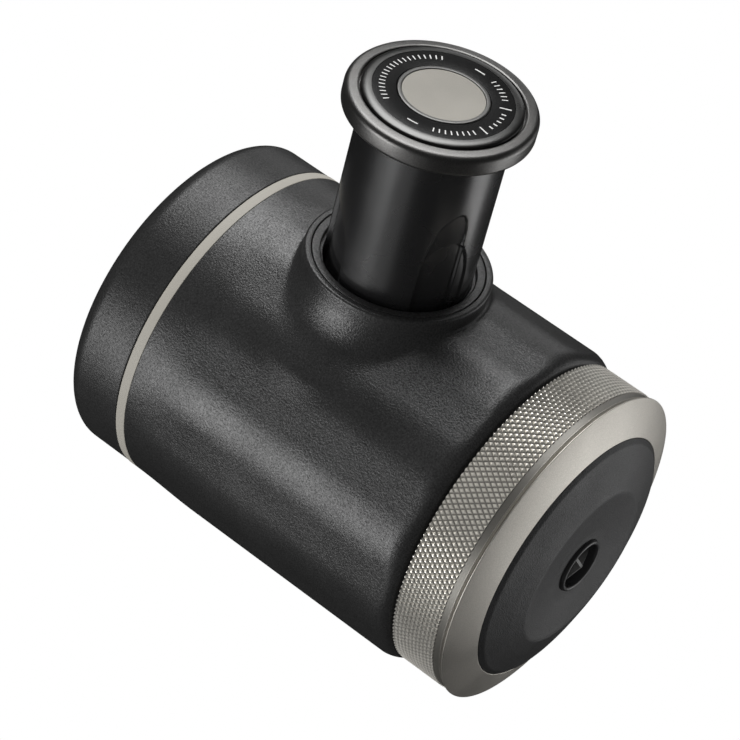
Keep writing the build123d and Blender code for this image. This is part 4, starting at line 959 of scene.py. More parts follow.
@dataclass
class LidShell:
    """Lid with its softly rounded edge."""

    radius: float = 35.4
    edge_width: float = 9.6
    edge_height: float = 5.5
    bore_radius: float = 33.4
    cavity_radius: float = 26.0
    plate_drop: float = 4.7
    cavity_drop: float = 2.5
    vent_radius: float = 0.6
    edge_steps: int = 20

    def build(self) -> bpy.types.Object:
        """Turn the lid."""
        low, high = span("lid_shell")
        centre_r, centre_z = self.radius - self.edge_width, high - self.edge_height
        outline = rounded([Corner(self.bore_radius, low), Corner(self.radius, low, 0.35),
                           Corner(self.radius, centre_z)], closed=False)
        for step in range(1, self.edge_steps + 1):
            angle = math.pi / 2 * step / self.edge_steps
            outline.append((centre_r + self.edge_width * math.cos(angle),
                            centre_z + self.edge_height * math.sin(angle)))
        plate, cavity = high - self.plate_drop, high - self.cavity_drop
        outline += rounded([Corner(self.vent_radius, high), Corner(self.vent_radius, cavity),
                            Corner(self.cavity_radius, cavity, 0.4), Corner(self.cavity_radius, plate),
                            Corner(self.bore_radius, plate)], closed=False)
        return dress(lathe("lid_shell_cover", outline, TurnAxis.UPRIGHT), Finishes.LID)


# ------------------------------------------------------------------ portafilter
@dataclass
class Portafilter:
    """Portafilter ring: plain band, knurled grip and the threaded spigot inside the body."""

    band_radius: float = 34.25
    band_height: float = 1.2
    band_drop: float = 0.75
    edge_width: float = 1.2
    edge_height: float = 0.47
    knurl_radius: float = 34.6
    knurl_height: float = 9.8
    knurl_depth: float = 0.45
    knurl_count: int = 176
    knurl_rows: int = 12
    knurl_tip: float = 0.2
    spigot_radius: float = 32.7
    bore_radius: float = 27.2
    socket_radius: float = 30.0
    socket_height: float = 5.3
    seal_rise: float = 1.64
    seal_height: float = 1.72
    seal_radius: float = 31.44
    thread_pitch: float = 3.2
    thread_depth: float = 0.7
    thread_count: int = 3
    thread_flank: float = 0.3
    chamfer: float = 0.32
    chamfer_land: float = 0.05

    def build(self) -> list[bpy.types.Object]:
        """Make the ring, its knurled grip and its bright edge."""
        low, high = span("portafilter_ring")
        knurl_low = low + self.band_height
        knurl_high = knurl_low + self.knurl_height
        root = self.knurl_radius - self.knurl_depth
        seal_low = knurl_high + self.seal_rise
        edge_low = low - self.band_drop
        edge_top = edge_low + self.edge_height
        band_inside = self.band_radius - self.edge_width
        corners = [
            Corner(self.socket_radius, low), Corner(band_inside, low),
            Corner(band_inside, edge_top), Corner(self.band_radius, edge_top),
            Corner(self.band_radius, knurl_low, 0.08), Corner(root, knurl_low), Corner(root, knurl_high),
            Corner(self.spigot_radius, knurl_high, 0.1), Corner(self.spigot_radius, seal_low),
            Corner(self.seal_radius, seal_low), Corner(self.seal_radius, seal_low + self.seal_height),
            Corner(self.spigot_radius, seal_low + self.seal_height),
        ]
        for index in reversed(range(self.thread_count)):
            start = high - self.thread_pitch * (index + 1)
            end = start + self.thread_pitch / 2
            floor = self.spigot_radius - self.thread_depth
            corners += [
                Corner(self.spigot_radius, start, 0.15), Corner(floor, start + self.thread_flank, 0.1),
                Corner(floor, end - self.thread_flank, 0.1), Corner(self.spigot_radius, end, 0.15)]
        corners += [Corner(self.spigot_radius, high, 0.3), Corner(self.bore_radius, high, 0.2),
                    Corner(self.bore_radius, low + self.socket_height),
                    Corner(self.socket_radius, low + self.socket_height)]
        # The ring's plain band carries painted shade, much darker than its knurled grip.
        ring = dress(lathe("portafilter_metal", rounded(corners), TurnAxis.UPRIGHT), Finishes.BAND)
        return [ring, self.knurl(knurl_low, knurl_high, root), self.bright_edge(edge_low, edge_top)]

    def bright_edge(self, low: float, high: float) -> bpy.types.Object:
        """Turn the bright chamfer under the plain band."""
        inside = self.band_radius - self.edge_width
        outline = rounded([
            Corner(inside, low), Corner(self.band_radius - self.chamfer, low, 0.04),
            Corner(self.band_radius, high - self.chamfer_land, 0.08), Corner(self.band_radius, high),
            Corner(inside, high)])
        return dress(lathe("portafilter_bright_edge", outline, TurnAxis.UPRIGHT), Finishes.BLASTED)

    def knurl(self, low: float, high: float, root: float) -> bpy.types.Object:
        """Set a pointed pyramid on every crossing of the diamond pattern.

        Args:
            low: Foot of the grip.
            high: Top of the grip.
            root: Radius at the foot of the pyramids.

        Returns:
            The knurl as one object.
        """
        recipe = Recipe("diamond_knurl")
        maker = recipe.maker
        count = recipe.number("Diamonds Round", self.knurl_count)
        rows = recipe.number("Rows", self.knurl_rows)
        radius = recipe.number("Root Radius", root * MM)
        depth = recipe.number("Depth", self.knurl_depth * MM)
        foot = recipe.number("Foot", low * MM)
        crest = recipe.number("Crest", high * MM)
        gap = maker.math("DIVIDE", maker.math("SUBTRACT", crest, foot), maker.math("SUBTRACT", rows, 1))
        index = maker.node("GeometryNodeInputIndex").outputs[0]
        row = maker.math("FLOOR", maker.math("DIVIDE", maker.math("ADD", index, 0.5), count))
        column = maker.math("SUBTRACT", index, maker.math("MULTIPLY", row, count))
        stagger = maker.math("MULTIPLY", maker.math("MODULO", row, 2), 0.5)
        turned = maker.math("MULTIPLY", maker.math("ADD", column, stagger), math.tau)
        angle = maker.math("DIVIDE", turned, count)
        outward = maker.combined(X=maker.math("COSINE", angle), Y=maker.math("SINE", angle))
        rise = maker.combined(Z=maker.math("ADD", foot, maker.math("MULTIPLY", row, gap)))
        place = maker.vector_math("ADD", maker.scaled(outward, radius), rise)
        dots = maker.node("GeometryNodePoints",
                          {"Count": maker.math("MULTIPLY", count, rows), "Position": place})
        cone = maker.node("GeometryNodeMeshCone", {
            "Vertices": 4, "Radius Top": self.knurl_tip, "Radius Bottom": 1.0, "Depth": 1.0})
        lean = maker.node("FunctionNodeAlignRotationToVector", {"Vector": outward}, axis="Z")
        upright = maker.node("FunctionNodeAlignRotationToVector",
                             {"Rotation": lean.outputs[0], "Vector": (0.0, 0.0, 1.0)}, axis="Y",
                             pivot_axis="Z")
        half_width = maker.math("DIVIDE", maker.math("MULTIPLY", radius, math.pi), count)
        spread = maker.node("GeometryNodeInstanceOnPoints", {
            "Points": dots.outputs[0], "Instance": cone.outputs["Mesh"], "Rotation": upright.outputs[0],
            "Scale": maker.combined(X=half_width, Y=gap, Z=depth)})
        real = maker.node("GeometryNodeRealizeInstances", {0: spread.outputs[0]})
        parts = maker.parts(maker.node("GeometryNodeInputPosition").outputs[0])
        held = maker.math("MINIMUM", maker.math("MAXIMUM", parts["Z"], foot), crest)
        cut = maker.node("GeometryNodeSetPosition", {
            "Geometry": real.outputs[0], "Position": maker.combined(X=parts["X"], Y=parts["Y"], Z=held)})
        return recipe.run("knurled_grip", cut.outputs[0], Finishes.KNURL)


# ------------------------------------------------------------------ outlet cap
@dataclass
class OutletCap:
    """Bevelled metal ring, moulded disc and short spout."""

    shoulder_radius: float = 34.75
    shoulder_z: float = 6.6
    bevel_radius: float = 27.4
    bevel_z: float = 3.45
    edge_height: float = 0.32
    step_drop: float = 0.05
    neck_radius: float = 32.6
    neck_height: float = 1.0
    spigot_radius: float = 29.7
    spigot_wall: float = 2.3
    spigot_height: float = 4.8
    seal_width: float = 1.0
    seal_height: float = 1.4
    ledge_width: float = 2.0
    ledge_height: float = 1.4
    disc_rim: float = 2.6
    rest_radius: float = 17.0
    rest_width: float = 0.8
    dish_depth: float = 0.8
    disc_thickness: float = 1.8
    disc_fit: float = 0.05
    rest_step: float = 0.02
    swell_radius: float = 21.0
    swell_height: float = 1.02
    hollow_height: float = 3.9
    rim_slope: float = 1.0
    rim_drop: float = 0.7
    rim_wall: float = 1.8
    spout_radius: float = 5.85
    spout_bore: float = 4.9
    flange_radius: float = 8.0
    flange_height: float = 1.2
    fins: int = 3
    fin_turn: float = -30.0
    fin_root: float = 0.3
    fin_width: float = 0.6
    fin_top: float = 3.5
    fin_rise: float = 2.0

    def ring(self) -> bpy.types.Object:
        """Turn the bevelled ring with its spigot."""
        neck_top = self.shoulder_z + self.neck_height
        top = neck_top + self.spigot_height
        seal = neck_top + (self.spigot_height - self.seal_height) / 2
        seal_r = self.spigot_radius - self.seal_width
        bore = self.spigot_radius - self.spigot_wall
        ledge_z = self.bevel_z + self.disc_rim
        ledge_top, ledge_r = ledge_z + self.ledge_height, self.bevel_radius - self.ledge_width
        step_z = self.shoulder_z - self.step_drop
        outline = rounded([
            Corner(self.bevel_radius, self.bevel_z, 0.12),
            Corner(self.shoulder_radius, self.shoulder_z - self.edge_height, 0.12),
            Corner(self.shoulder_radius, step_z, 0.12),
            Corner(self.neck_radius, step_z), Corner(self.neck_radius, neck_top),
            Corner(self.spigot_radius, neck_top, 0.1), Corner(self.spigot_radius, seal),
            Corner(seal_r, seal), Corner(seal_r, seal + self.seal_height),
            Corner(self.spigot_radius, seal + self.seal_height), Corner(self.spigot_radius, top, 0.3),
            Corner(bore, top, 0.3), Corner(bore, ledge_top), Corner(ledge_r, ledge_top),
            Corner(ledge_r, ledge_z), Corner(self.bevel_radius, ledge_z)])
        return dress(lathe("cap_ring_metal", outline, TurnAxis.UPRIGHT), Finishes.BLASTED)

    def disc(self) -> bpy.types.Object:
        """Turn the moulded disc, with its convex band and shallow dish."""
        rim = self.bevel_radius - self.disc_fit
        rim_top = self.bevel_z + self.disc_rim
        rest_out, rest_in = self.rest_radius + self.rest_width / 2, self.rest_radius - self.rest_width / 2
        socket = self.spout_radius + self.disc_fit
        under = self.dish_depth + self.disc_thickness
        outline = rounded([
            Corner(socket, self.dish_depth, 0.1), Corner(self.flange_radius, self.dish_depth, 14.0),
            Corner(rest_in, self.rest_step, 3.0), Corner(rest_out, 0.0, 3.0),
            Corner(self.swell_radius, self.swell_height, 16.0),
            Corner(rim - self.rim_slope, self.bevel_z - self.rim_drop, 1.6),
            Corner(rim, self.bevel_z + self.disc_fit, 0.1),
            Corner(rim, rim_top), Corner(rim - self.rim_wall, rim_top),
            Corner(self.swell_radius, self.hollow_height), Corner(rest_in, under),
            Corner(socket, under)], step=3.0)
        return dress(lathe("outlet_disc", outline, TurnAxis.UPRIGHT), Finishes.DISC)

    def spout(self) -> bpy.types.Object:
        """Turn the spout tube with its hidden flange."""
        flange_z = self.dish_depth + self.disc_thickness
        flange_top = flange_z + self.flange_height
        outline = rounded([
            Corner(self.spout_bore, 0.0, 0.45), Corner(self.spout_radius, 0.0, 0.45),
            Corner(self.spout_radius, flange_z), Corner(self.flange_radius, flange_z),
            Corner(self.flange_radius, flange_top), Corner(self.spout_bore, flange_top)])
        return dress(lathe("outlet_spout_tube", outline, TurnAxis.UPRIGHT, COARSE_SEGMENTS), Finishes.SPOUT)

    def fin_star(self) -> bpy.types.Object:
        """Three thin fins that slope up from the middle of the spout to its wall."""
        recipe = Recipe("spout_fins")
        maker = recipe.maker
        count = recipe.number("Fins", self.fins)
        reach = recipe.number("Reach", (self.spout_bore + self.fin_root) * MM)
        width = recipe.number("Width", self.fin_width * MM)
        turn = recipe.number("First Turn", math.radians(self.fin_turn))
        rise = recipe.number("Rise", self.fin_rise * MM)
        height = recipe.number("Height", self.fin_top * MM)
        box = maker.node("GeometryNodeMeshCube", {"Size": maker.combined(X=reach, Y=width, Z=height)})
        shift = maker.combined(X=maker.math("MULTIPLY", reach, 0.5), Z=maker.math("MULTIPLY", height, 0.5))
        moved = maker.node("GeometryNodeTransform", {"Geometry": box.outputs["Mesh"], "Translation": shift})
        parts = maker.parts(maker.node("GeometryNodeInputPosition").outputs[0])
        out = maker.math("DIVIDE", parts["X"], reach)
        below = maker.math("SUBTRACT", 1.0, maker.math("DIVIDE", parts["Z"], height))
        lift = maker.combined(Z=maker.math("MULTIPLY", maker.math("MULTIPLY", out, below), rise))
        leant = maker.node("GeometryNodeSetPosition", {"Geometry": moved.outputs[0], "Offset": lift})
        dots = maker.node("GeometryNodePoints", {"Count": count})
        index = maker.node("GeometryNodeInputIndex").outputs[0]
        angle = maker.math("ADD", maker.math("DIVIDE", maker.math("MULTIPLY", index, math.tau), count), turn)
        rotation = maker.node("FunctionNodeEulerToRotation", {0: maker.combined(Z=angle)})
        star = maker.node("GeometryNodeInstanceOnPoints", {
            "Points": dots.outputs[0], "Instance": leant.outputs[0], "Rotation": rotation.outputs[0]})
        return recipe.run("outlet_spout_fins", star.outputs[0], Finishes.FIN)


# ------------------------------------------------------------------ piston
@dataclass
class PistonSleeve:
    """Gloss black sleeve with its three moulded twist tracks.

    The lines of a track are (degrees from its leading edge, place along the piston). The arch is the
    outer edge of its ramp, and the foot line is where the ramp drops into the slot.
    """

    radius: float = 14.75
    bore_radius: float = 12.2
    rod_hole: float = 3.56
    floor_height: float = 4.1
    depth: float = 1.0
    edges: tuple[float, float, float] = (-90.0, 164.0, 37.0)
    sweep: float = 44.2
    groove: float = 9.6
    groove_share: float = 0.4
    arch_top: Line = (
        (-44.2, 48.0), (-43.6, 50.6), (-42.5, 53.4), (-41.0, 55.6), (-39.0, 57.4), (-36.5, 58.9),
        (-32.0, 60.4), (-27.0, 61.5), (-22.5, 61.9), (-18.5, 61.5), (-15.5, 60.3), (-13.4, 58.4),
        (-12.6, 56.0), (-12.2, 53.0))
    foot_line: Line = (
        (-44.2, 50.5), (-38.0, 52.4), (-34.6, 53.2), (-29.7, 54.0), (-24.0, 54.4), (-16.5, 54.4),
        (-11.0, 53.4), (-6.0, 51.0), (-3.0, 48.8), (-1.0, 46.6), (0.0, 44.0))
    plain_edge: float = 164.0
    plain_end: float = 1.5
    plain_line: Line = (
        (-44.2, 55.3), (-38.0, 54.6), (-28.5, 53.4), (-22.8, 52.6), (-14.8, 51.9), (-9.2, 50.8),
        (-3.5, 48.8), (-0.5, 46.9), (1.5, 43.0))
    ramp_step: float = 0.12
    ramp_fall: float = 0.48
    ramp_end: float = 1.8
    ramp_margin: float = 2.5
    ramp_reach: float = 1.5
    ramp_least: float = 0.6
    track_margin: float = 3.0
    slot_low: float = 31.0
    slot_fade: float = 5.0
    lug_sweep: float = 80.0
    lug_low: float = 17.7
    lug_high: float = 20.8
    soft: float = 0.55
    wall: float = 0.6
    fine_turn: float = 0.45
    fine_margin: float = 2.0
    coarse_turn: float = 3.0
    least_turn: float = 1.2
    end_inset: float = 0.3
    lug_rows: int = 13
    rows: tuple[tuple[float, float, int], ...] = ((22.5, 43.0, 8), (43.6, 62.6, 136))
    head_row: float = 64.0
    head_rows: int = 5
    crisp_angle: float = 50.0

    def __post_init__(self) -> None:
        """Work out how many millimetres of the skin one degree takes up."""
        self.to_mm = math.pi / 180 * self.radius

    def recess(self, degrees: float, along: float) -> float:
        """Depth of the tracks at one place of the sleeve's skin.

        Args:
            degrees: Angle about the piston's axis.
            along: Place along it.

        Returns:
            Depth in millimetres.
        """
        deepest = 0.0
        for edge in self.edges:
            angle = signed_angle(degrees - edge)
            if -self.lug_sweep - self.track_margin <= angle <= self.track_margin:
                deepest = max(deepest, self.track(angle, along, edge == self.plain_edge))
        return deepest * self.depth

    def track(self, angle: float, along: float, plain: bool) -> float:
        """Depth share of one track at an angle from its leading edge; a plain one has no ramp."""
        to_mm, soft = self.to_mm, self.soft
        line, end = (self.plain_line, self.plain_end) if plain else (self.foot_line, 0.0)
        foot = smooth_step(self.short_of(line, angle, along) / soft)
        right = smooth_step((end - angle) * to_mm / self.wall)
        left = smooth_step((angle + self.sweep) * to_mm / soft)
        fade = smooth_step((along - self.slot_low) / self.slot_fade)
        above_lugs = smooth_step((along - self.lug_low) / soft)
        groove = self.groove_share * right * left * foot * above_lugs
        low_slot = smooth_step((angle + self.lug_sweep) * to_mm / soft) * right
        low_slot *= above_lugs
        low_slot *= smooth_step((self.lug_high - along) / soft)
        if plain:
            return max(left * right * foot * fade, groove, low_slot)
        inner = smooth_step((-self.groove - angle) * to_mm / soft)
        return max(left * foot * fade * inner, groove, low_slot, self.ramp(angle, along))

    def short_of(self, line: Line, angle: float, along: float) -> float:
        """Distance by which a place falls short of a slanting line, as (angle, place) points."""
        here, before, after = (float(np.interp(angle + step, *zip(*line))) for step in (0, -0.5, 0.5))
        slope = (after - before) / self.to_mm
        return (here - along) / math.hypot(1, slope)

    def ramp(self, angle: float, along: float) -> float:
        """Depth share of the arched ramp that leads into the slot."""
        low, high = self.arch_top[0][0], self.arch_top[-1][0]
        if not low <= angle <= high + self.ramp_margin:
            return 0.0
        top = float(np.interp(angle, *zip(*self.arch_top)))
        foot = float(np.interp(angle, *zip(*self.foot_line)))
        if along < foot - self.ramp_reach:
            return 0.0
        share = min(max((top - along) / max(top - foot, self.ramp_least), 0.0), 1.0)
        sides = smooth_step((high + self.ramp_end - angle) * self.to_mm / self.soft)
        sides *= smooth_step((angle - low) * self.to_mm / self.soft)
        edge = smooth_step(self.short_of(self.arch_top, angle, along) / self.soft)
        return (self.ramp_step + self.ramp_fall * share) * edge * sides

    def lines(self) -> tuple[list[float], list[float]]:
        """Angles and places of the grid, close together where the tracks are."""
        angles: set[float] = set()
        count = int((self.sweep + 2 * self.fine_margin) / self.fine_turn)
        for edge in self.edges:
            first = edge - self.sweep - self.fine_margin
            angles.update(round((first + self.fine_turn * step) % FULL_TURN, 3) for step in range(count))
        far = [step * self.coarse_turn for step in range(int(FULL_TURN / self.coarse_turn))]
        angles.update(angle for angle in far
                      if all(abs(signed_angle(angle - known)) > self.least_turn for known in list(angles)))
        low, high = span("piston_sleeve", X)
        along = [low + self.end_inset, self.lug_low - self.end_inset]
        along += [*np.linspace(self.lug_low, self.lug_high, self.lug_rows), self.lug_high + self.end_inset]
        for start, end, count in self.rows:
            along += list(np.linspace(start, end, count))
        along += list(np.linspace(self.head_row, high - self.end_inset, self.head_rows))
        return sorted(angles), along

    def build(self) -> bpy.types.Object:
        """Mesh the sleeve as one closed grid."""
        angles, places = self.lines()
        low, high = span("piston_sleeve", X)
        floor = high - self.floor_height
        points = []
        for along in places:
            for angle in angles:
                radius = self.radius - self.recess(angle, along)
                points.append(turned_place(radius, along, angle, TurnAxis.PISTON))
        end_radius = self.radius - self.end_inset
        inside = [(end_radius, high), (self.rod_hole, high), (self.rod_hole, floor),
                  (self.bore_radius, floor), (self.bore_radius, low), (end_radius, low)]
        for radius, along in inside:
            points += [turned_place(radius, along, angle, TurnAxis.PISTON) for angle in angles]
        faces = grid_faces(len(places) + len(inside), len(angles), True)
        return dress(solid_object("piston_sleeve_skin", points, faces, self.crisp_angle), Finishes.SLEEVE)


@dataclass
class GuideBushing:
    """Bushing in the boss, with the lugs that run in the sleeve's tracks."""

    radius: float = 17.15
    guide_radius: float = 14.81
    mouth_radius: float = 15.4
    mouth_depth: float = 1.2
    wiper_width: float = 1.4
    wiper_height: float = 2.0
    wiper_depth: float = 1.2
    lug_tip: float = 14.37
    lug_root: float = 15.6
    lug_height: float = 1.6
    lug_gap: float = 0.9
    lug_half: float = 2.6
    lug_angles: tuple[float, float, float] = (-110.0, 124.0, 17.0)

    def build(self) -> bpy.types.Object:
        """Turn the bushing and add its lugs."""
        low, high = span("guide_bushing", X)
        mouth = high - self.mouth_depth
        wiper = mouth - self.wiper_depth
        wiper_low = wiper - self.wiper_height
        groove = self.guide_radius + self.wiper_width
        outline = rounded([
            Corner(self.radius, low), Corner(self.radius, high, 0.18), Corner(self.mouth_radius, high, 0.3),
            Corner(self.mouth_radius, mouth), Corner(self.guide_radius, mouth, 0.1),
            Corner(self.guide_radius, wiper), Corner(groove, wiper), Corner(groove, wiper_low),
            Corner(self.guide_radius, wiper_low), Corner(self.guide_radius, low)])
        ring = lathe("bushing_ring", outline, TurnAxis.PISTON, MEDIUM_SEGMENTS)
        lugs = [self.lug(angle, low + self.lug_gap) for angle in self.lug_angles]
        return dress(joined("guide_bushing_ring", [ring, *lugs]), Finishes.BODY)

    def lug(self, middle: float, start: float) -> bpy.types.Object:
        """Make one lug as a small ring sector."""
        angles = [middle + self.lug_half * share for share in (-1, -0.5, 0, 0.5, 1)]
        end = start + self.lug_height
        section = [(self.lug_tip, start), (self.lug_root, start), (self.lug_root, end), (self.lug_tip, end)]
        return swept_block("lug", section, angles)


@dataclass
class PistonHead:
    """Metal rim, gloss insert with plain marks, and bare badge disc."""

    radius: float = 18.7
    underside: float = 0.35
    slope: float = 0.2
    pocket_radius: float = 6.0
    pocket_depth: float = 2.1
    floor: float = 0.8
    insert_radius: float = 15.6
    groove: float = 0.35
    foot_width: float = 2.6
    lip_width: float = 0.3
    lip_drop: float = 0.15
    bevel_width: float = 1.9
    bevel_drop: float = 0.7
    badge_radius: float = 9.0
    badge_recess: float = 0.6
    face_radius: float = 8.0
    face_drop: float = 0.2
    disc_radius: float = 13.7
    disc_drop: float = 0.04
    socket_fit: float = 0.05
    bevel_steps: int = 16
    ring_step: float = 0.25
    mark_radius: float = 11.75
    mark_half: float = 0.02
    mark_points: int = 7
    # Each row of ticks: its first angle, its step, how many, their length and their width.
    ticks: tuple[tuple[float, float, int, float, float], ...] = (
        (-57.0, 0.0, 1, 2.3, 0.3), (-102.5, 0.0, 1, 2.3, 0.3), (-67.0, 6.5, 5, 0.9, 0.32),
        (150.0, 5.5, 21, 1.2, 0.24), (-113.0, 5.5, 8, 1.2, 0.24), (-16.0, 5.5, 6, 1.2, 0.24))
    long_bars: tuple[float, float] = (2.0, -172.0)
    long_bar: tuple[float, float] = (0.3, 2.3)

    def __post_init__(self) -> None:
        """Read where the head's faces are."""
        self.low, self.top = span("head_rim", X)
        self.insert_top = level("head_insert", Side.HIGH, X)
        self.badge_low, self.badge_top = span("head_badge", X)
        self.seat = self.low + self.pocket_depth + self.floor

    def rim(self) -> bpy.types.Object:
        """Turn the rim."""
        pocket = self.low + self.pocket_depth
        lip = self.insert_radius + self.groove
        outline = rounded([
            Corner(0, pocket), Corner(self.pocket_radius, pocket),
            Corner(self.pocket_radius, self.low, 0.3), Corner(self.radius - self.foot_width, self.low),
            Corner(self.radius, self.low - self.underside, 1.0),
            Corner(self.radius, self.top - self.slope, 1.4), Corner(lip + self.lip_width, self.top, 0.5),
            Corner(lip, self.top - self.lip_drop, 0.1), Corner(lip, self.seat),
            Corner(0, self.seat)], closed=False, step=9.0)
        return dress(lathe("head_rim_metal", outline, TurnAxis.PISTON, closed=False), Finishes.HEAD_RIM)

    def insert_ring(self) -> bpy.types.Object:
        """Turn the polished ring with its rounded bevel."""
        centre = self.insert_radius - self.bevel_width
        outline: Outline = [(self.disc_radius, self.seat), (self.insert_radius, self.seat)]
        for step in range(self.bevel_steps + 1):
            angle = math.pi / 2 * step / self.bevel_steps
            outline.append((centre + self.bevel_width * math.cos(angle),
                            self.insert_top - self.bevel_drop * (1 - math.sin(angle))))
        outline += [(self.disc_radius, self.insert_top), (self.disc_radius, self.insert_top - self.ring_step)]
        return dress(lathe("head_insert_ring", outline, TurnAxis.PISTON), Finishes.BEVEL)

    def insert_disc(self) -> bpy.types.Object:
        """Turn the black disc inside the ring, with the badge's socket."""
        base = self.seat + self.socket_fit
        socket = self.badge_radius + self.socket_fit
        top = self.insert_top - self.disc_drop
        recess = self.insert_top - self.badge_recess
        outline = rounded([
            Corner(0, base), Corner(self.disc_radius, base), Corner(self.disc_radius, top, 0.12),
            Corner(socket, top, 0.1), Corner(socket, recess), Corner(0, recess)], closed=False)
        return dress(lathe("head_insert_disc", outline, TurnAxis.PISTON, closed=False), Finishes.INSERT)

    def badge_rim(self) -> bpy.types.Object:
        """Turn the raised rim of the badge."""
        outline = rounded([
            Corner(self.face_radius, self.badge_low), Corner(self.badge_radius, self.badge_low),
            Corner(self.badge_radius, self.badge_top, 0.35), Corner(self.face_radius, self.badge_top, 0.2)])
        return dress(lathe("head_badge_rim", outline, TurnAxis.PISTON, MEDIUM_SEGMENTS), Finishes.BADGE_RIM)

    def badge_face(self) -> bpy.types.Object:
        """Turn the bare face inside the rim."""
        face = self.badge_top - self.face_drop
        outline = [(0, self.badge_low), (self.face_radius, self.badge_low), (self.face_radius, face),
                   (0, face)]
        return dress(lathe("head_badge_face", outline, TurnAxis.PISTON, MEDIUM_SEGMENTS, closed=False),
                     Finishes.BADGE)

    def marks(self) -> bpy.types.Object:
        """Lay out the printed marks: two long bars, ticks, dashes and a plain graduated scale."""
        bars = [self.bar(first - step * index, length, width)
                for first, step, count, length, width in self.ticks for index in range(count)]
        bars += [self.bar(angle, *self.long_bar) for angle in self.long_bars]
        return dress(joined("head_marks", bars), Finishes.MARKS)

    def bar(self, degrees: float, length: float, width: float) -> bpy.types.Object:
        """Make one thin printed bar on the insert.

        Args:
            degrees: Its angle about the piston's axis.
            length: Its size along the radius.
            width: Its size round the axis.

        Returns:
            The bar as a thin block.
        """
        half = math.degrees(width / 2 / self.mark_radius)
        steps = 2 if width < 1 else self.mark_points
        angles = np.linspace(degrees - half, degrees + half, steps)
        low, high = self.mark_radius - length / 2, self.mark_radius + length / 2
        face = self.insert_top - self.disc_drop
        under, over = face - self.mark_half, face + self.mark_half
        return swept_block("bar", [(low, under), (high, under), (high, over), (low, over)], angles, 0.0)


@dataclass
class CoilSpring:
    """A round-wire spring wound about one of the two axes."""

    name: str
    node: str
    joint: str
    body: str
    axis: TurnAxis
    radius: float
    wire: float
    turns: int
    travel: float
    steps_per_turn: int = 24
    wire_sides: int = 10

    def build(self) -> bpy.types.Object:
        """Wind the spring and tie it to its body."""
        along = Z if self.axis is TurnAxis.UPRIGHT else X
        low, high = span(self.node, along)
        recipe = Recipe(self.name + "_wire")
        maker = recipe.maker
        length = recipe.number("Length", (high - low - self.wire) * MM)
        radius = recipe.number("Coil Radius", self.radius * MM)
        wire = recipe.number("Wire Radius", self.wire / 2 * MM)
        turns = recipe.number("Turns", float(self.turns))
        path = maker.node("GeometryNodeCurveSpiral", {
            "Resolution": self.steps_per_turn, "Rotations": turns, "Start Radius": radius,
            "End Radius": radius, "Height": length})
        section = maker.node("GeometryNodeCurvePrimitiveCircle",
                             {"Resolution": self.wire_sides, "Radius": wire})
        tube = maker.node("GeometryNodeCurveToMesh", {
            "Curve": path.outputs[0], "Profile Curve": section.outputs[0], "Fill Caps": True})
        smooth = maker.node("GeometryNodeSetShadeSmooth", {"Geometry": tube.outputs[0]})
        coil = recipe.run(self.name, smooth.outputs[0], Finishes.SPRING)
        if self.axis is TurnAxis.PISTON:
            turn = Matrix.Rotation(math.pi / 2, 4, "Y")
            place = Vector(((low + self.wire / 2) * MM, 0, PISTON_Z * MM))
        else:
            lowest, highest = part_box(self.node)
            turn = Matrix.Identity(4)
            place = Vector(((lowest.x + highest.x) / 2, 0, (low + self.wire / 2) * MM))
        coil.data.transform(Matrix.Translation(place) @ turn)
        fix(coil, self.body, "spring_steel", self.node)
        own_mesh(coil)
        return coil


INNER_FINISHES: dict[str, Finishes] = {
    "cap_seal": Finishes.RUBBER,
    "portafilter_seal": Finishes.RUBBER,
    "filter_basket": Finishes.STEEL,
    "group_gasket": Finishes.SILICONE,
    "group_head": Finishes.INNER,
    "group_screws": Finishes.STEEL,
    "shower_plate": Finishes.STEEL,
    "shower_screw": Finishes.STEEL,
    "pump_housing": Finishes.INNER,
    "wiper_seal": Finishes.RUBBER,
    "piston_rod": Finishes.ROD,
    "rod_screw": Finishes.ROD,
    "plunger": Finishes.GUIDE,
    "plunger_seal": Finishes.SILICONE,
    "pump_cylinder": Finishes.GUIDE,
    "pump_gland": Finishes.GUIDE,
    "valve_manifold": Finishes.BRASS,
    "manifold_screws": Finishes.STEEL,
    "valve_seats": Finishes.SILICONE,
    "valve_retainers": Finishes.STEEL,
    "inlet_ball": Finishes.STEEL,
    "outlet_ball": Finishes.STEEL,
    "tank_liner": Finishes.TANK,
    "tank_grommet": Finishes.SILICONE,
    "lid_liner": Finishes.INNER,
    "lid_seal": Finishes.SILICONE,
    "lid_vent": Finishes.SILICONE,
}


def dress_inner_nodes() -> None:
    """Give every CAD node that still shows its finish."""
    for name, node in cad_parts.items():
        if node.hide_render:
            continue
        finish = INNER_FINISHES[name]
        for slot in node.material_slots:
            slot.material = finish.value.material()
        log.info("%s: CAD mesh, %s", name, finish.value.name)


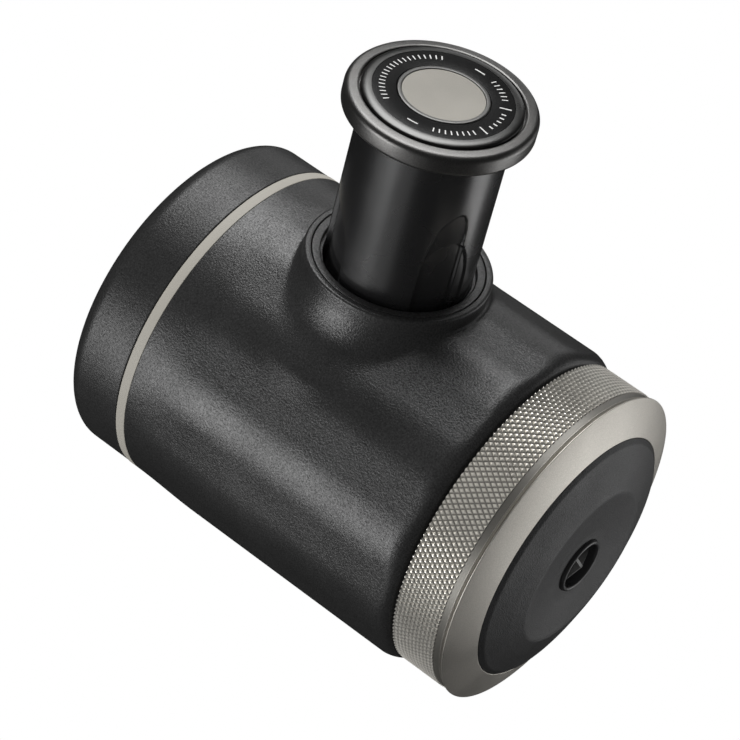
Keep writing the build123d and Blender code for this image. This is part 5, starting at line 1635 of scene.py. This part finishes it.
# ------------------------------------------------------------------ studio
@dataclass(frozen=True)
class Photographer:
    """The photograph's camera, as fitted to the object in it; directions are in the CAD frame."""

    place: tuple[float, float, float] = (418.43, -433.74, -187.81)
    right: tuple[float, float, float] = (0.20312869, 0.61903988, -0.75863586)
    up: tuple[float, float, float] = (0.74667635, 0.40327969, 0.52899898)
    back: tuple[float, float, float] = (0.6334139, -0.67391032, -0.38030476)
    lens: float = 157.89
    sensor: float = 36.0
    clip: tuple[float, float] = (0.01, 100.0)

    def matrix(self) -> Matrix:
        """Camera matrix in metres."""
        turn = Matrix((self.right, self.up, self.back)).transposed().to_4x4()
        return Matrix.Translation(Vector(self.place) * MM) @ turn

    def towards(self, seen: tuple[float, float, float]) -> Vector:
        """Turn a direction (right, up, towards the camera) into the CAD frame."""
        right, up, back = (Vector(row) for row in (self.right, self.up, self.back))
        return right * seen[0] + up * seen[1] + back * seen[2]

    def make(self) -> None:
        """Put the camera in the scene."""
        data = bpy.data.cameras.new("photo_camera")
        data.lens, data.sensor_width = self.lens, self.sensor
        data.clip_start, data.clip_end = self.clip
        camera = linked("photo_camera", data)
        camera.matrix_world = self.matrix()
        bpy.context.scene.camera = camera


@dataclass(frozen=True)
class Lamp:
    """A soft rectangular lamp, placed as seen by the camera.

    The direction is (right, up, towards the camera) and the sizes are metres.
    """

    name: str
    direction: tuple[float, float, float]
    distance: float
    width: float
    height: float
    power: float
    spin: float = 0.0

    def make(self, view: Photographer, target: Vector) -> None:
        """Put the lamp in the scene, turned to the target."""
        data = bpy.data.lights.new(self.name, "AREA")
        data.shape = "RECTANGLE"
        data.size, data.size_y, data.energy = self.width, self.height, self.power
        towards = view.towards(self.direction).normalized()
        turn = towards.to_track_quat("Z", "Y").to_matrix().to_4x4() @ Matrix.Rotation(self.spin, 4, "Z")
        linked(self.name, data).matrix_world = Matrix.Translation(target + towards * self.distance) @ turn


LAMPS = (
    Lamp("overhead_box", (0.08, 0.95, 0.26), 1.1, 0.9, 0.78, 13.4),
    Lamp("rear_card", (0.36, 0.72, -0.6), 1.1, 0.5, 0.5, 0.6),
    Lamp("left_box", (-0.88, -0.33, 0.34), 1.1, 0.64, 0.64, 7.3),
    Lamp("right_box", (0.80, -0.46, -0.30), 1.1, 0.66, 0.66, 2.6),
    Lamp("low_left_card", (-0.62, -0.78, 0.16), 1.1, 0.65, 0.65, 0.6),
)


@dataclass(frozen=True)
class Opening:
    """A gap in the dark flags where reflections see the white background."""

    direction: tuple[float, float, float]
    half_angle: float


OPENINGS = (
    Opening((0.92, -0.08, -0.38), 22.0),
)


@dataclass
class Studio:
    """Pale floor, even background, lamps and the dark flags that gloss reflects."""

    floor_size: float = 6.0
    floor_drop: float = 0.2
    floor_shade: float = 0.8
    floor_glow: float = 0.5
    flag_radius: float = 3.0
    flag_shade: float = 0.02
    flag_subdivisions: int = 5
    ambient: float = 0.55

    def build(self) -> None:
        """Make everything round the object."""
        view = Photographer()
        view.make()
        low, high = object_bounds()
        target = (low + high) / 2
        for lamp in LAMPS:
            lamp.make(view, target)
        self.world()
        self.floor()
        self.flags(view)
        bpy.context.scene.view_settings.view_transform = "Standard"

    def world(self) -> None:
        """White for what the camera, gloss and glass see, and a soft ambient light for the rest."""
        world = bpy.data.worlds.new("studio_world")
        world.use_nodes = True
        bpy.context.scene.world = world
        maker = TreeMaker(world.node_tree)
        rays = maker.node("ShaderNodeLightPath").outputs
        seen = maker.math("MAXIMUM", maker.math("MAXIMUM", rays["Is Camera Ray"], rays["Is Glossy Ray"]),
                          rays["Is Transmission Ray"])
        soft = maker.node("ShaderNodeBackground", {"Color": grey(1.0), "Strength": self.ambient})
        white = maker.node("ShaderNodeBackground", {"Color": grey(1.0), "Strength": 1.0})
        mix = maker.node("ShaderNodeMixShader", {0: seen, 1: soft.outputs[0], 2: white.outputs[0]})
        maker.node("ShaderNodeOutputWorld", {"Surface": mix.outputs[0]})

    def floor(self) -> None:
        """Pale floor that shows from above only and keeps the object's shadow."""
        half = self.floor_size / 2
        mesh = bpy.data.meshes.new("studio_floor")
        mesh.from_pydata([(-half, -half, 0), (half, -half, 0), (half, half, 0), (-half, half, 0)], [],
                         [(0, 1, 2, 3)])
        floor = linked("studio_floor", mesh)
        floor.location.z = -self.floor_drop * MM
        material, maker = new_material("studio_floor")
        camera_ray = maker.node("ShaderNodeLightPath").outputs["Is Camera Ray"]
        plain = maker.node("ShaderNodeBsdfDiffuse", {"Color": grey(self.floor_shade)})
        glow = maker.node("ShaderNodeEmission", {
            "Color": grey(1.0), "Strength": maker.math("MULTIPLY", camera_ray, self.floor_glow)})
        both = maker.node("ShaderNodeAddShader", {0: plain.outputs[0], 1: glow.outputs[0]})
        clear = maker.node("ShaderNodeBsdfTransparent")
        backside = maker.node("ShaderNodeNewGeometry").outputs["Backfacing"]
        mix = maker.node("ShaderNodeMixShader", {0: backside, 1: both.outputs[0], 2: clear.outputs[0]})
        maker.node("ShaderNodeOutputMaterial", {"Surface": mix.outputs[0]})
        mesh.materials.append(material)
        floor.visible_shadow = floor.visible_diffuse = floor.visible_glossy = False
        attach(floor, "outlet_cap")
        floor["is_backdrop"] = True

    def flags(self, view: Photographer) -> None:
        """Hang dark flags round the scene, seen by reflections only, with openings to the white."""
        shape = bmesh.new()
        bmesh.ops.create_icosphere(shape, subdivisions=self.flag_subdivisions, radius=self.flag_radius)
        gone = []
        for opening in OPENINGS:
            centre = view.towards(opening.direction)
            limit = math.radians(opening.half_angle)
            gone += [face for face in shape.faces
                     if face not in gone and face.calc_center_median().angle(centre) < limit]
        bmesh.ops.delete(shape, geom=gone, context="FACES")
        mesh = bpy.data.meshes.new("dark_flags")
        shape.to_mesh(mesh)
        shape.free()
        flags = linked("dark_flags", mesh)
        material, maker = new_material("dark_flags")
        card = maker.node("ShaderNodeBsdfDiffuse", {"Color": grey(self.flag_shade)})
        maker.node("ShaderNodeOutputMaterial", {"Surface": card.outputs[0]})
        mesh.materials.append(material)
        flags.visible_camera = flags.visible_diffuse = flags.visible_shadow = False
        flags.visible_transmission = False
        flags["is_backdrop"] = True


def main() -> None:
    """Build every piece in order."""
    logging.basicConfig(level=logging.INFO, format="%(name)s: %(message)s")
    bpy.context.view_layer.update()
    fix(BodyShell().build(), "main", "body_plastic", "main_body")
    fix(TrimRing().build(), "main", "champagne_metal", "trim_ring")
    fix(LidShell().build(), "lid", "lid_plastic", "lid_shell")
    ring, knurl, bright_edge = Portafilter().build()
    fix(ring, "portafilter", "knurled_metal", "portafilter_ring")
    fix(knurl, "portafilter", "knurled_metal")
    fix(bright_edge, "portafilter", "knurled_metal")
    cap = OutletCap()
    fix(cap.ring(), "outlet_cap", "blasted_metal", "cap_ring")
    fix(cap.disc(), "outlet_cap", "disc_plastic", "cap_disc")
    fix(cap.spout(), "outlet_cap", "spout_plastic", "outlet_spout")
    fix(cap.fin_star(), "outlet_cap", "spout_plastic")
    fix(PistonSleeve().build(), "knob", "gloss_black", "piston_sleeve")
    fix(GuideBushing().build(), "main", "body_plastic", "guide_bushing")
    head = PistonHead()
    fix(head.rim(), "knob", "rim_metal", "head_rim")
    fix(head.insert_ring(), "knob", "rim_metal", "head_insert")
    fix(head.insert_disc(), "knob", "gloss_black", "head_insert")
    fix(head.badge_rim(), "knob", "badge_metal", "head_badge")
    fix(head.badge_face(), "knob", "badge_metal", "head_badge")
    fix(head.marks(), "knob", "gloss_black")
    CoilSpring("return_coil", "return_spring", "piston_slide", "main", TurnAxis.PISTON,
               radius=10.6, wire=1.2, turns=12, travel=34.6).build()
    for side in ("inlet", "outlet"):
        CoilSpring(f"{side}_coil", f"{side}_spring", f"{side}_valve_slide", "main", TurnAxis.UPRIGHT,
                   radius=1.3, wire=0.4, turns=5, travel=1.2).build()
    dress_inner_nodes()
    Studio().build()


if __name__ == "__main__":
    main()
